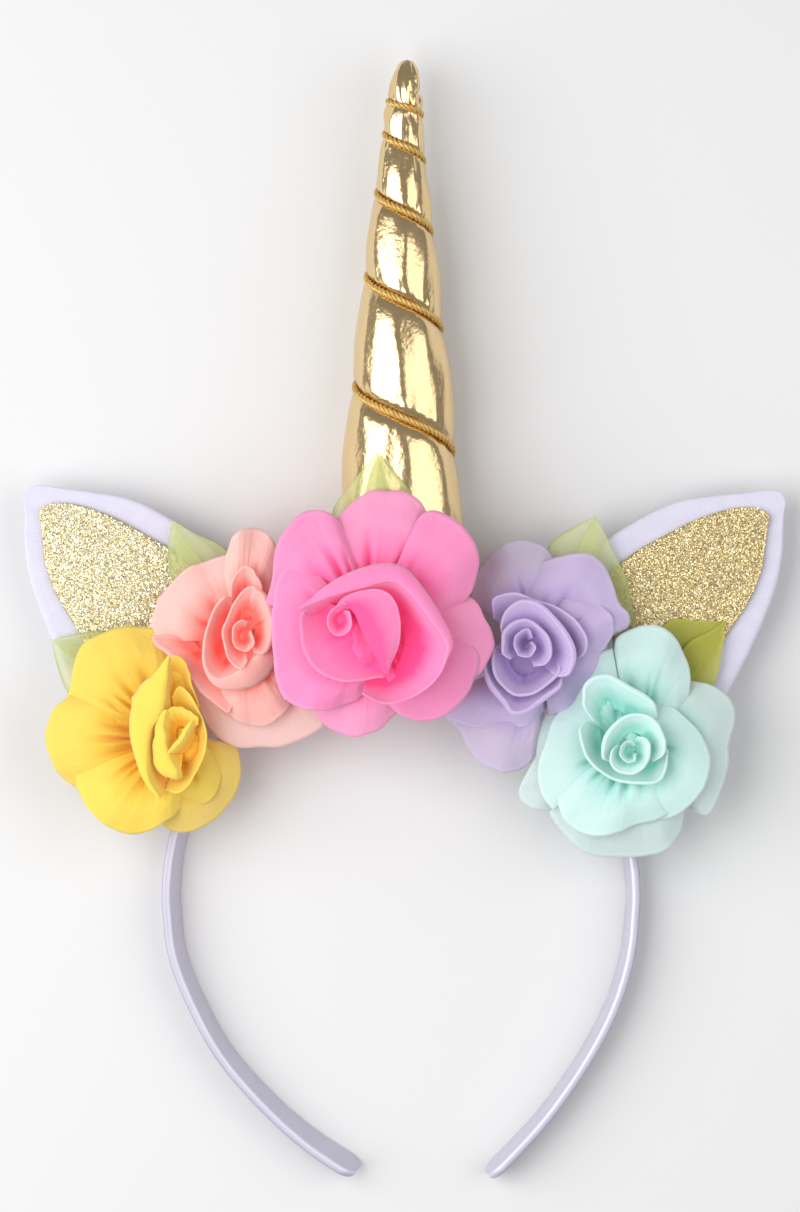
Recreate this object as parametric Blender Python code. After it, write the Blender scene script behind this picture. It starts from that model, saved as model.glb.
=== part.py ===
"""Unicorn horn headband: a satin-wrapped hair band with a stuffed gold horn wound with gold cord,
two felt ears with glitter panels, five rolled chiffon roses and five folded chiffon leaves.

It lies on its back, flowers up: X runs across the band, Y from the arm tips to the horn, Z up.
The origin is under the middle of the whole headband. Every size is in metres.
"""

import math

import bmesh
import bpy

GAP = 0.0003

# The hair band is a flat strip that leans outwards, so its inner face shows from the front.
BAND_SPAN = 0.1253
BAND_ARCH_HEIGHT = 0.0663
BAND_ARM_DROP = 0.0725
BAND_DEPTH = 0.0090
BAND_WALL = 0.0025
BAND_EDGE_ROUND = 0.0007
BAND_STATIONS = 76

# drop: share of the arm's drop. left, right: shares of half the span. Leans are in degrees.
BAND_ARMS = (
    {"drop": 0.00, "left": 1.000, "right": 1.000, "left_lean": 17, "right_lean": 10},
    {"drop": 0.20, "left": 0.975, "right": 0.979, "left_lean": 17, "right_lean": 11},
    {"drop": 0.40, "left": 0.888, "right": 0.911, "left_lean": 18, "right_lean": 12},
    {"drop": 0.60, "left": 0.755, "right": 0.791, "left_lean": 19, "right_lean": 13},
    {"drop": 0.80, "left": 0.548, "right": 0.629, "left_lean": 21, "right_lean": 13},
    {"drop": 0.92, "left": 0.388, "right": 0.505, "left_lean": 24, "right_lean": 14},
    {"drop": 1.00, "left": 0.250, "right": 0.415, "left_lean": 25, "right_lean": 14},
)

# The horn is a stuffed cone. The cord pulls a groove into it, and the cloth swells between turns.
HORN_LENGTH = 0.1513
HORN_RADIUS = 0.0152
HORN_SWELL = 0.12
HORN_TIP = 0.0006
HORN_COLUMNS = 20
HORN_TURN_ROWS = (0.0, 0.10, 0.30, 0.50, 0.70, 0.90)
HORN_HALF_TURNS = (-1.35, 12.6)
HORN_SWELL_SHAPE = 0.8
HORN_LEAST_SIZE = 0.08

# along: share of the length from the base. width: share of the radius. depth: share of the width.
HORN_SECTIONS = (
    {"along": 0.000, "width": 0.890, "depth": 0.75},
    {"along": 0.110, "width": 1.000, "depth": 0.75},
    {"along": 0.230, "width": 0.947, "depth": 0.79},
    {"along": 0.388, "width": 0.842, "depth": 0.89},
    {"along": 0.586, "width": 0.641, "depth": 1.00},
    {"along": 0.737, "width": 0.474, "depth": 1.00},
    {"along": 0.854, "width": 0.335, "depth": 1.00},
    {"along": 0.924, "width": 0.276, "depth": 1.00},
    {"along": 0.982, "width": 0.190, "depth": 1.00},
    {"along": 1.000, "width": 0.095, "depth": 1.00},
)

# The cord's turns lie closer together towards the tip. Places are shares of the horn's length.
CORD_DIAMETER = 0.0018
CORD_START = 0.931
CORD_FIRST_PITCH = 0.0172
CORD_PITCH_GROWTH = 0.0055
CORD_HALF_TURNS = (-1.0, 11.3)
CORD_POINTS_PER_TURN = 18

EAR_LENGTH = 0.0802
EAR_WIDTH = 0.055
EAR_ANGLE = 53.2
EAR_ARCH_ANGLE = 38.5
EAR_OFFSET = 0.0013
FELT_THICKNESS = 0.0020
GLITTER_THICKNESS = 0.0010

# along: share of the ear's length from the band. upper, lower: shares of its width.
EAR_OUTLINE = (
    {"along": -0.02, "upper": 0.43, "lower": 0.41},
    {"along": 0.10, "upper": 0.48, "lower": 0.42},
    {"along": 0.30, "upper": 0.56, "lower": 0.39},
    {"along": 0.50, "upper": 0.535, "lower": 0.345},
    {"along": 0.66, "upper": 0.455, "lower": 0.290},
    {"along": 0.77, "upper": 0.370, "lower": 0.235},
    {"along": 0.86, "upper": 0.250, "lower": 0.165},
    {"along": 0.94, "upper": 0.125, "lower": 0.075},
    {"along": 1.00, "upper": 0.020, "lower": 0.020},
)
GLITTER_OUTLINE = (
    {"along": 0.25, "upper": 0.40, "lower": 0.24},
    {"along": 0.40, "upper": 0.42, "lower": 0.23},
    {"along": 0.55, "upper": 0.385, "lower": 0.20},
    {"along": 0.665, "upper": 0.315, "lower": 0.185},
    {"along": 0.77, "upper": 0.240, "lower": 0.140},
    {"along": 0.865, "upper": 0.140, "lower": 0.060},
    {"along": 0.92, "upper": 0.020, "lower": 0.015},
)

LEAF_LENGTH = 0.038
LEAF_WIDTH = 0.028
LEAF_THICKNESS = 0.0010
LEAF_ARCH = 0.0006
LEAF_OUTLINE = (
    {"along": 0.00, "half": 0.35},
    {"along": 0.20, "half": 0.80},
    {"along": 0.40, "half": 1.00},
    {"along": 0.56, "half": 0.93},
    {"along": 0.70, "half": 0.68},
    {"along": 0.86, "half": 0.34},
    {"along": 1.00, "half": 0.03},
)

# A rose is an open skirt of scalloped petals with a standing whorl and a rolled bud inside it.
PETAL_WALL = 0.0010
SKIRT_RISE_SPAN = 0.72
LOBE_HALF_TURN = 25
LEAST_FACING = 0.05
SKIRT_RISE = 0.0090
SKIRT_CUP = 0.0012
SKIRT_NOTCH = 0.16
SKIRT_COLUMNS = 40
SKIRT_RINGS = (0.16, 0.36, 0.58, 0.80, 1.00)
SKIRT_CLEARANCE = 0.0012
WHORL_HEIGHT = 0.0180
WHORL_SHARES = (0.56, 1.00)
WHORL_TURNS = 1.6
WHORL_COLUMNS = 34
BUD_HEIGHT = 0.0200
BUD_SHARES = (0.13, 0.42)
BUD_TURNS = 1.3
BUD_COLUMNS = 22
STRIP_ROWS = (0.0, 0.5, 1.0)
STRIP_FLARE = 0.22
FOOT_MARGIN = 0.0008
RIM_FALL = 0.12
RIM_WAVE = 0.10

# arch: degrees round the band's arch. off: distance out from the band. heart: the whorl's offset
# from the rose's middle. whorl: the whorl's two half widths. reach: shares of the radius.
ROSES = {
    "yellow": {
        "arch": 147.3, "off": 0.0162, "radius": 0.0280, "on_horn": False,
        "heart": (0.0060, 0.0003), "whorl": (0.0104, 0.0187), "twist": 100,
        "lobes": (
            {"turn": 60, "reach": 0.72},
            {"turn": 115, "reach": 1.00},
            {"turn": 184, "reach": 0.97},
            {"turn": 253, "reach": 0.97},
            {"turn": 311, "reach": 1.00},
            {"turn": 352, "reach": 0.90},
        ),
        "leaf": {"root": (0.0094, 0.0055), "angle": 152},
    },
    "salmon": {
        "arch": 122.7, "off": 0.0143, "radius": 0.0270, "on_horn": False,
        "heart": (-0.0003, 0.0026), "whorl": (0.0086, 0.0156), "twist": 60,
        "lobes": (
            {"turn": 35, "reach": 0.75},
            {"turn": 85, "reach": 1.07},
            {"turn": 148, "reach": 0.90},
            {"turn": 212, "reach": 0.72},
            {"turn": 262, "reach": 1.00},
            {"turn": 305, "reach": 1.10},
            {"turn": 350, "reach": 0.80},
        ),
        "leaf": {"root": (-0.0044, -0.0044), "angle": 110},
    },
    "pink": {
        "arch": 94.3, "off": 0.0088, "radius": 0.0300, "on_horn": True,
        "heart": (-0.0030, -0.0050), "whorl": (0.0215, 0.0170), "twist": 200,
        "lobes": (
            {"turn": 37, "reach": 1.00},
            {"turn": 88, "reach": 1.04},
            {"turn": 130, "reach": 1.07},
            {"turn": 180, "reach": 0.93},
            {"turn": 229, "reach": 1.05},
            {"turn": 261, "reach": 1.05},
            {"turn": 308, "reach": 0.98},
            {"turn": 351, "reach": 0.97},
        ),
        "leaf": {"root": (-0.0005, 0.0034), "angle": 90},
    },
    "lavender": {
        "arch": 59.3, "off": 0.0079, "radius": 0.0280, "on_horn": False,
        "heart": (-0.0026, 0.0008), "whorl": (0.0117, 0.0150), "twist": 20,
        "lobes": (
            {"turn": 22, "reach": 0.88},
            {"turn": 62, "reach": 1.03},
            {"turn": 114, "reach": 1.05},
            {"turn": 165, "reach": 0.62},
            {"turn": 212, "reach": 1.03},
            {"turn": 252, "reach": 1.12},
            {"turn": 312, "reach": 0.75},
        ),
        "leaf": {"root": (0.0067, -0.0010), "angle": 78},
    },
    "mint": {
        "arch": 33.6, "off": 0.0083, "radius": 0.0290, "on_horn": False,
        "heart": (-0.0010, 0.0026), "whorl": (0.0117, 0.0138), "twist": 300,
        "lobes": (
            {"turn": 17, "reach": 0.98},
            {"turn": 77, "reach": 1.06},
            {"turn": 127, "reach": 0.80},
            {"turn": 205, "reach": 1.07},
            {"turn": 265, "reach": 1.03},
            {"turn": 321, "reach": 0.97},
        ),
        "leaf": {"root": (-0.0019, 0.0046), "angle": 45},
    },
}

# Where two roses meet, both skirts stop at a line across the way between them.
MEETINGS = (
    {"first": "yellow", "second": "salmon", "share": 0.55},
    {"first": "lavender", "second": "mint", "share": 0.40},
)

# The headband's middle is the origin, and its back edge and the cord's lowest turn touch the floor.
BAND_CENTRE = (0.0, (BAND_ARM_DROP - BAND_ARCH_HEIGHT - GAP - HORN_LENGTH - HORN_TIP) / 2)
HORN_HALF_DEPTH = max(row["width"] * row["depth"] * HORN_RADIUS for row in HORN_SECTIONS)
HORN_AXIS_HEIGHT = HORN_HALF_DEPTH + CORD_DIAMETER + 2 * GAP
EAR_LEVEL = BAND_DEPTH + GAP
GLITTER_LEVEL = EAR_LEVEL + FELT_THICKNESS + GAP
LEAF_LEVEL = GLITTER_LEVEL + GLITTER_THICKNESS + GAP
HORN_LEAF_LEVEL = 2 * HORN_AXIS_HEIGHT

COLOURS = {
    "satin": {"colour": (0.60, 0.58, 0.68), "roughness": 0.40, "metallic": 0.0},
    "foil": {"colour": (0.83, 0.62, 0.30), "roughness": 0.28, "metallic": 1.0},
    "cord": {"colour": (0.72, 0.42, 0.08), "roughness": 0.45, "metallic": 0.6},
    "felt": {"colour": (0.84, 0.82, 0.95), "roughness": 0.95, "metallic": 0.0},
    "glitter": {"colour": (0.78, 0.66, 0.32), "roughness": 0.35, "metallic": 0.7},
    "leaf": {"colour": (0.58, 0.68, 0.32), "roughness": 0.80, "metallic": 0.0},
    "yellow": {"colour": (0.95, 0.72, 0.07), "roughness": 0.85, "metallic": 0.0},
    "salmon": {"colour": (0.95, 0.42, 0.36), "roughness": 0.85, "metallic": 0.0},
    "pink": {"colour": (0.92, 0.19, 0.47), "roughness": 0.85, "metallic": 0.0},
    "lavender": {"colour": (0.52, 0.38, 0.68), "roughness": 0.85, "metallic": 0.0},
    "mint": {"colour": (0.44, 0.78, 0.70), "roughness": 0.85, "metallic": 0.0},
}


def clear_scene():
    for obj in list(bpy.data.objects):
        bpy.data.objects.remove(obj, do_unlink=True)


def material(name):
    made = bpy.data.materials.get(name)
    if made:
        return made
    made = bpy.data.materials.new(name)
    made.use_nodes = True
    shader = made.node_tree.nodes["Principled BSDF"]
    shader.inputs["Base Color"].default_value = (*COLOURS[name]["colour"], 1)
    shader.inputs["Roughness"].default_value = COLOURS[name]["roughness"]
    shader.inputs["Metallic"].default_value = COLOURS[name]["metallic"]
    return made


def add_piece(name, points, faces, finish, sharp=math.radians(40)):
    """Makes one closed solid with its faces turned outwards."""
    mesh = bpy.data.meshes.new(name)
    mesh.from_pydata(points, [], faces)
    shaped = bmesh.new()
    shaped.from_mesh(mesh)
    bmesh.ops.recalc_face_normals(shaped, faces=shaped.faces)
    shaped.to_mesh(mesh)
    shaped.free()
    mesh.shade_smooth()
    mesh.set_sharp_from_angle(angle=sharp)
    mesh.materials.append(material(finish))
    piece = bpy.data.objects.new(name, mesh)
    bpy.context.scene.collection.objects.link(piece)
    return piece


def smooth_read(rows, key, value, at):
    """Reads a column of a table between its rows, on one smooth curve through them."""
    places = [row[key] for row in rows]
    sizes = [row[value] for row in rows]
    at = min(max(at, places[0]), places[-1])
    i = max(k for k in range(len(places) - 1) if places[k] <= at or k == 0)
    width = places[i + 1] - places[i]
    slopes = []
    for k in (i, i + 1):
        low = max(k - 1, 0)
        high = min(k + 1, len(places) - 1)
        slopes.append((sizes[high] - sizes[low]) / (places[high] - places[low]))
    t = (at - places[i]) / width
    return (
        sizes[i] * (1 + 2 * t) * (1 - t) ** 2
        + slopes[0] * width * t * (1 - t) ** 2
        + sizes[i + 1] * t * t * (3 - 2 * t)
        + slopes[1] * width * t * t * (t - 1)
    )


def arch_point(degrees, off=0.0):
    """A point of the band's outer edge over the head, or one that far outside it."""
    across = BAND_SPAN / 2
    cos, sin = math.cos(math.radians(degrees)), math.sin(math.radians(degrees))
    normal = math.hypot(BAND_ARCH_HEIGHT * cos, across * sin)
    x = across * cos + off * BAND_ARCH_HEIGHT * cos / normal
    y = BAND_ARCH_HEIGHT * sin + off * across * sin / normal
    return BAND_CENTRE[0] + x, BAND_CENTRE[1] + y


def band_outline():
    """Points of the band's outer edge from the left tip to the right one, each with its lean."""
    outline = []
    steps = 2 * len(BAND_ARMS)
    for side, sign in (("left", -1), ("right", 1)):
        arm = []
        for i in range(1, steps + 1):
            drop = i / steps
            reach = smooth_read(BAND_ARMS, "drop", side, drop) * BAND_SPAN / 2
            lean = smooth_read(BAND_ARMS, "drop", side + "_lean", drop)
            point = (BAND_CENTRE[0] + sign * reach, BAND_CENTRE[1] - drop * BAND_ARM_DROP)
            arm.append((*point, lean))
        if side == "left":
            outline += arm[::-1]
            left, right = BAND_ARMS[0]["left_lean"], BAND_ARMS[0]["right_lean"]
            for degrees in range(180, -1, -6):
                share = degrees / 180
                outline.append((*arch_point(degrees), left * share + right * (1 - share)))
        else:
            outline += arm
    return outline


def spaced(outline, count):
    """The same curve read at even distances."""
    lengths = [0.0]
    for a, b in zip(outline, outline[1:]):
        lengths.append(lengths[-1] + math.hypot(b[0] - a[0], b[1] - a[1]))
    rows = [dict(zip(("x", "y", "lean"), p), run=run) for p, run in zip(outline, lengths)]
    found = []
    for i in range(count):
        run = lengths[-1] * i / (count - 1)
        found.append(tuple(smooth_read(rows, "run", key, run) for key in ("x", "y", "lean")))
    return found


def make_hair_band():
    """A strip swept round the head, its flat back edge on the floor and its front edge rounded."""
    places = spaced(band_outline(), BAND_STATIONS)
    round_ = BAND_EDGE_ROUND
    section = (
        (0.0, 0.0),
        (0.0, BAND_DEPTH - round_),
        (0.3 * round_, BAND_DEPTH - 0.3 * round_),
        (round_, BAND_DEPTH),
        (BAND_WALL - round_, BAND_DEPTH),
        (BAND_WALL - 0.3 * round_, BAND_DEPTH - 0.3 * round_),
        (BAND_WALL, BAND_DEPTH - round_),
        (BAND_WALL, 0.0),
    )
    points = []
    for i, (x, y, lean) in enumerate(places):
        before, after = places[max(i - 1, 0)], places[min(i + 1, len(places) - 1)]
        dx, dy = after[0] - before[0], after[1] - before[1]
        size = math.hypot(dx, dy)
        inward = (dy / size, -dx / size)
        for inset, z in section:
            off = inset + (BAND_DEPTH - z) * math.tan(math.radians(lean))
            points.append((x + inward[0] * off, y + inward[1] * off, z))
    across = len(section)
    faces = [tuple(range(across)), tuple(range(len(points) - across, len(points)))]
    for i in range(len(places) - 1):
        for k in range(across):
            a, b = i * across + k, i * across + (k + 1) % across
            faces.append((a, b, b + across, a + across))
    add_piece("hair_band", points, faces, "satin")


def horn_base():
    """Where the horn's flat end sits on the crown of the band."""
    x, y = arch_point(90)
    return x, y + GAP


def cord_place(half_turns):
    """How far from the horn's tip the cord is, after that many half turns from the left side."""
    start = HORN_LENGTH * (1 - CORD_START)
    first = CORD_FIRST_PITCH * HORN_LENGTH * half_turns
    return start + first + CORD_PITCH_GROWTH * HORN_LENGTH * half_turns * half_turns


def horn_half_widths(from_tip):
    along = 1 - from_tip / HORN_LENGTH
    width = HORN_RADIUS * smooth_read(HORN_SECTIONS, "along", "width", along)
    return width, width * smooth_read(HORN_SECTIONS, "along", "depth", along)


def horn_point(half_turns, side, swell, lift=0.0):
    """A point of the horn's skin. side is the angle round it, from +X through the front."""
    x0, y0 = horn_base()
    from_tip = min(max(cord_place(half_turns), 0.0), HORN_LENGTH)
    width, depth = horn_half_widths(from_tip)
    past_base = max(cord_place(half_turns) - HORN_LENGTH, 0.0)
    size = max(1 + HORN_SWELL * swell - past_base / HORN_RADIUS, HORN_LEAST_SIZE)
    x = x0 + (width * size + lift) * math.cos(side)
    z = HORN_AXIS_HEIGHT + (depth * size + lift) * math.sin(side)
    return x, y0 + HORN_LENGTH - from_tip, z


def make_horn():
    """Rows of points follow the cord's winding, so its groove is a line of the mesh."""
    per_turn = len(HORN_TURN_ROWS)
    first, last = HORN_HALF_TURNS
    rows = int((last - first) / 2 * per_turn)
    points = []
    for i in range(rows + 1):
        turn, k = divmod(i, per_turn)
        share = HORN_TURN_ROWS[k]
        swell = math.sin(math.pi * share) ** HORN_SWELL_SHAPE
        for j in range(HORN_COLUMNS):
            half_turns = first + 2 * (turn + share + j / HORN_COLUMNS)
            side = math.pi * (1 - first) - 2 * math.pi * j / HORN_COLUMNS
            points.append(horn_point(half_turns, side, swell))

    def at(i, j):
        return (i + per_turn) * HORN_COLUMNS if j == HORN_COLUMNS else i * HORN_COLUMNS + j

    faces = []
    for i in range(rows):
        for j in range(HORN_COLUMNS):
            if j == HORN_COLUMNS - 1 and i + 1 + per_turn > rows:
                continue
            faces.append((at(i, j), at(i, j + 1), at(i + 1, j + 1), at(i + 1, j)))
    tip_edge = [at(0, j) for j in range(HORN_COLUMNS)]
    tip_edge += [at(i, 0) for i in range(per_turn, 0, -1)]
    base_edge = [at(rows, j) for j in range(HORN_COLUMNS)]
    base_edge += [at(i, HORN_COLUMNS - 1) for i in range(rows - 1, rows - per_turn, -1)]
    base_edge.append(at(rows - per_turn, HORN_COLUMNS))
    x0, y0 = horn_base()
    points.append((x0, y0 + HORN_LENGTH + HORN_TIP, HORN_AXIS_HEIGHT))
    tip = len(points) - 1
    points.append((x0, y0, HORN_AXIS_HEIGHT))
    base = len(points) - 1
    for edge, middle in ((tip_edge, tip), (base_edge, base)):
        for a, b in zip(edge, edge[1:] + edge[:1]):
            if a != b:
                faces.append((a, b, middle))
    add_piece("horn", points, faces, "foil")


def make_horn_cord():
    """The cord lies in the horn's groove, from near the tip down to the base."""
    radius = CORD_DIAMETER / 2
    start, end = CORD_HALF_TURNS
    count = int((end - start) / 2 * CORD_POINTS_PER_TURN)
    curve = bpy.data.curves.new("horn_cord", "CURVE")
    curve.dimensions = "3D"
    curve.bevel_depth = radius
    curve.bevel_resolution = 1
    curve.use_fill_caps = True
    spline = curve.splines.new("POLY")
    spline.points.add(count)
    for i in range(count + 1):
        half_turns = start + (end - start) * i / count
        side = math.pi * (1 - half_turns)
        spline.points[i].co = (*horn_point(half_turns, side, 0.0, radius + 1.5 * GAP), 1)
    curve.materials.append(material("cord"))
    piece = bpy.data.objects.new("horn_cord", curve)
    bpy.context.scene.collection.objects.link(piece)


def flat_panel(name, outline, level, thickness, mirrored, finish):
    """A felt or glitter panel cut to an outline, lying over the band at the ear's place."""
    sign = -1 if mirrored else 1
    x0, y0 = arch_point(EAR_ARCH_ANGLE, EAR_OFFSET)
    x0 = 2 * BAND_CENTRE[0] - x0 if mirrored else x0
    angle = math.radians(EAR_ANGLE)
    cut = [(row["along"], row["upper"]) for row in outline]
    cut += [(row["along"], -row["lower"]) for row in reversed(outline)]
    ring = []
    for along, across in cut:
        a, b = along * EAR_LENGTH, across * EAR_WIDTH
        x = a * math.cos(angle) - b * math.sin(angle)
        y = a * math.sin(angle) + b * math.cos(angle)
        ring.append((x0 + sign * x, y0 + y))
    count = len(ring)
    points = [(x, y, level) for x, y in ring] + [(x, y, level + thickness) for x, y in ring]
    faces = [tuple(range(count)), tuple(range(count, 2 * count))]
    for k in range(count):
        n = (k + 1) % count
        faces.append((k, n, n + count, k + count))
    add_piece(name, points, faces, finish)


def make_ears():
    for side, mirrored in (("left", True), ("right", False)):
        flat_panel("ear_felt_" + side, EAR_OUTLINE, EAR_LEVEL, FELT_THICKNESS, mirrored, "felt")
        flat_panel(
            "ear_glitter_" + side,
            GLITTER_OUTLINE,
            GLITTER_LEVEL,
            GLITTER_THICKNESS,
            mirrored,
            "glitter",
        )


def sheet_solid(lower, upper, ring, hub=False):
    """Points and faces of the solid between two grids of points, rows of columns.

    ring joins the last column to the first, and hub closes the first row round a middle point.
    """
    rows, columns = len(lower), len(lower[0])
    points = [p for row in lower for p in row] + [p for row in upper for p in row]
    half = rows * columns
    faces = []
    for i in range(rows - 1):
        for j in range(columns if ring else columns - 1):
            n = (j + 1) % columns
            quad = (i * columns + j, i * columns + n, (i + 1) * columns + n, (i + 1) * columns + j)
            faces.append(quad[::-1])
            faces.append(tuple(half + k for k in quad))
    edges = [[(rows - 1) * columns + j for j in range(columns)]]
    if not hub:
        edges.append(list(range(columns)))
    if ring:
        edges = [edge + edge[:1] for edge in edges]
    else:
        edges += [[i * columns + j for i in range(rows)] for j in (0, columns - 1)]
    for edge in edges:
        for a, b in zip(edge, edge[1:]):
            faces.append((a, b, b + half, a + half))
    if hub:
        for offset in (0, half):
            middle = [
                sum(points[offset + j][axis] for j in range(columns)) / columns for axis in range(3)
            ]
            points.append(tuple(middle))
            for j in range(columns):
                faces.append((offset + j, offset + (j + 1) % columns, len(points) - 1))
    return points, faces


def rose_middle(colour):
    return arch_point(ROSES[colour]["arch"], ROSES[colour]["off"])


def rose_level(colour):
    """The height of a rose's underside, which sits on its own leaf."""
    leaf = HORN_LEAF_LEVEL if ROSES[colour]["on_horn"] else LEAF_LEVEL
    return leaf + LEAF_ARCH + LEAF_THICKNESS + GAP


def petal_reach(colour, turn):
    """The skirt's outline: the distance to its scalloped edge in one direction."""
    lobes = ROSES[colour]["lobes"]
    best = None
    for i, lobe in enumerate(lobes):
        after = lobes[(i + 1) % len(lobes)]
        span = (after["turn"] - lobe["turn"]) % 360
        place = (turn - lobe["turn"]) % 360
        if place <= span:
            share = place / span
            size = lobe["reach"] * (1 - share) + after["reach"] * share
            notch = SKIRT_NOTCH * (1 - abs(2 * share - 1)) ** 2
            best = size * (1 - notch)
    reach = best * ROSES[colour]["radius"]
    x, y = rose_middle(colour)
    for meeting in MEETINGS:
        if colour not in (meeting["first"], meeting["second"]):
            continue
        own_share = meeting["share"] if colour == meeting["first"] else 1 - meeting["share"]
        other = meeting["second"] if colour == meeting["first"] else meeting["first"]
        ox, oy = rose_middle(other)
        apart = math.hypot(ox - x, oy - y)
        towards = math.atan2(oy - y, ox - x)
        facing = math.cos(math.radians(turn) - towards)
        if facing > LEAST_FACING:
            reach = min(reach, (apart * own_share - SKIRT_CLEARANCE / 2) / facing)
    return reach


def skirt_height(colour, x, y):
    """The height of the middle of the skirt's cloth at a point of the plan."""
    x0, y0 = rose_middle(colour)
    turn = math.degrees(math.atan2(y - y0, x - x0)) % 360
    share = math.hypot(x - x0, y - y0) / petal_reach(colour, turn)
    share = min(max(share - SKIRT_RINGS[0], 0.0) / (1 - SKIRT_RINGS[0]), 1.0)
    lobes = ROSES[colour]["lobes"]
    nearest = min(abs((turn - lobe["turn"] + 180) % 360 - 180) for lobe in lobes)
    cup = SKIRT_CUP * min(nearest / LOBE_HALF_TURN, 1) ** 2 * share**3
    rise = SKIRT_RISE * math.sin(SKIRT_RISE_SPAN * math.pi * share)
    return rose_level(colour) + PETAL_WALL / 2 + rise - cup


def make_skirt(colour):
    """The gathered ring of scalloped petals that lies open round the whorl."""
    x0, y0 = rose_middle(colour)
    lower, upper = [], []
    for share in SKIRT_RINGS:
        low_row, high_row = [], []
        for j in range(SKIRT_COLUMNS):
            turn = 360 * j / SKIRT_COLUMNS
            reach = petal_reach(colour, turn) * share
            x = x0 + reach * math.cos(math.radians(turn))
            y = y0 + reach * math.sin(math.radians(turn))
            z = skirt_height(colour, x, y)
            low_row.append((x, y, z - PETAL_WALL / 2))
            high_row.append((x, y, z + PETAL_WALL / 2))
        lower.append(low_row)
        upper.append(high_row)
    points, faces = sheet_solid(lower, upper, ring=True, hub=True)
    add_piece("rose_" + colour + "_skirt", points, faces, colour)


def cleared_foot(colour, x, y):
    """The lowest height at which a standing wall clears the skirt under and beside it."""
    highest = max(
        skirt_height(colour, x + dx * FOOT_MARGIN, y + dy * FOOT_MARGIN)
        for dx in (-1, 0, 1)
        for dy in (-1, 0, 1)
    )
    return highest + PETAL_WALL / 2 + GAP


def make_rolled_strip(colour, part, shares, turns, columns, height):
    """A strip rolled upright round the heart, wider at its waved rim than at its foot."""
    rose = ROSES[colour]
    x0, y0 = rose_middle(colour)
    x0, y0 = x0 + rose["heart"][0], y0 + rose["heart"][1]
    across, along = rose["whorl"]
    inner, outer = [], []
    for t in STRIP_ROWS:
        inner_row, outer_row = [], []
        for j in range(columns + 1):
            s = j / columns
            turn = math.radians(rose["twist"]) + 2 * math.pi * turns * s
            share = shares[0] + (shares[1] - shares[0]) * s
            spread = share * (1 - STRIP_FLARE * (1 - t) ** 2)
            cos, sin = math.cos(turn), math.sin(turn)
            x, y = x0 + across * spread * cos, y0 + along * spread * sin
            foot = cleared_foot(colour, x, y)
            rim = height * (1 - RIM_WAVE * (1 + math.cos(3 * turn)) / 2)
            rim *= 1 - RIM_FALL * share
            top = rose_level(colour) + rim
            z = foot + (top - foot) * t
            normal = math.hypot(along * cos, across * sin)
            nx, ny = along * cos / normal, across * sin / normal
            wall = PETAL_WALL / 2
            inner_row.append((x - nx * wall, y - ny * wall, z))
            outer_row.append((x + nx * wall, y + ny * wall, z))
        inner.append(inner_row)
        outer.append(outer_row)
    points, faces = sheet_solid(inner, outer, ring=False)
    add_piece("rose_" + colour + "_" + part, points, faces, colour)


def make_leaf(colour):
    """A pointed leaf of folded chiffon that lies under its rose."""
    rose = ROSES[colour]
    x0, y0 = rose_middle(colour)
    x0, y0 = x0 + rose["leaf"]["root"][0], y0 + rose["leaf"]["root"][1]
    angle = math.radians(rose["leaf"]["angle"])
    level = HORN_LEAF_LEVEL if rose["on_horn"] else LEAF_LEVEL
    lower, upper = [], []
    for row in LEAF_OUTLINE:
        low_row, high_row = [], []
        for share in (-1, -0.5, 0, 0.5, 1):
            a, b = row["along"] * LEAF_LENGTH, share * row["half"] * LEAF_WIDTH / 2
            x = x0 + a * math.cos(angle) - b * math.sin(angle)
            y = y0 + a * math.sin(angle) + b * math.cos(angle)
            z = level + LEAF_ARCH * (1 - share * share)
            low_row.append((x, y, z))
            high_row.append((x, y, z + LEAF_THICKNESS))
        lower.append(low_row)
        upper.append(high_row)
    points, faces = sheet_solid(lower, upper, ring=False)
    add_piece("leaf_" + colour, points, faces, "leaf")


def make_rose(colour):
    make_skirt(colour)
    make_rolled_strip(colour, "whorl", WHORL_SHARES, WHORL_TURNS, WHORL_COLUMNS, WHORL_HEIGHT)
    make_rolled_strip(colour, "bud", BUD_SHARES, BUD_TURNS, BUD_COLUMNS, BUD_HEIGHT)
    make_leaf(colour)


clear_scene()
make_hair_band()
make_horn()
make_horn_cord()
make_ears()
for rose_colour in ROSES:
    make_rose(rose_colour)
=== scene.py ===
"""Looks of the unicorn horn headband: gold foil horn, twisted cord, satin band, felt and glitter ears,
five gathered chiffon roses and five folded organza leaves.

Everything is in metres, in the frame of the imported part, which lies on its back with the flowers up.
"""

import math

import bmesh
import bpy
import numpy as np
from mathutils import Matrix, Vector, noise


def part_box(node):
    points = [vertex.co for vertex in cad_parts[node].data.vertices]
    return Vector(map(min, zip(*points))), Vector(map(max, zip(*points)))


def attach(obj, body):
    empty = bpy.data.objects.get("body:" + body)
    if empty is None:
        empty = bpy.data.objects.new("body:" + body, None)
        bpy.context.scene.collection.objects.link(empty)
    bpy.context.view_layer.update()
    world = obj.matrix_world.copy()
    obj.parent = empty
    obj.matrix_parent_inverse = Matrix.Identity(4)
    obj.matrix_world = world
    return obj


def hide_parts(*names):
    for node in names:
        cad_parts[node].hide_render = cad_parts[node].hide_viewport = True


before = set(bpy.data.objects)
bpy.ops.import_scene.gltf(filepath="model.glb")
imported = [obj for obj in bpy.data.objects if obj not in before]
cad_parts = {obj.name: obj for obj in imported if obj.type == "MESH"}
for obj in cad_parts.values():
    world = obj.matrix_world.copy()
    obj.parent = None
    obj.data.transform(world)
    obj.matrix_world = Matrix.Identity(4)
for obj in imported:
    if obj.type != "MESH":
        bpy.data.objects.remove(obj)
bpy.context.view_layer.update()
MM = 0.001

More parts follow.
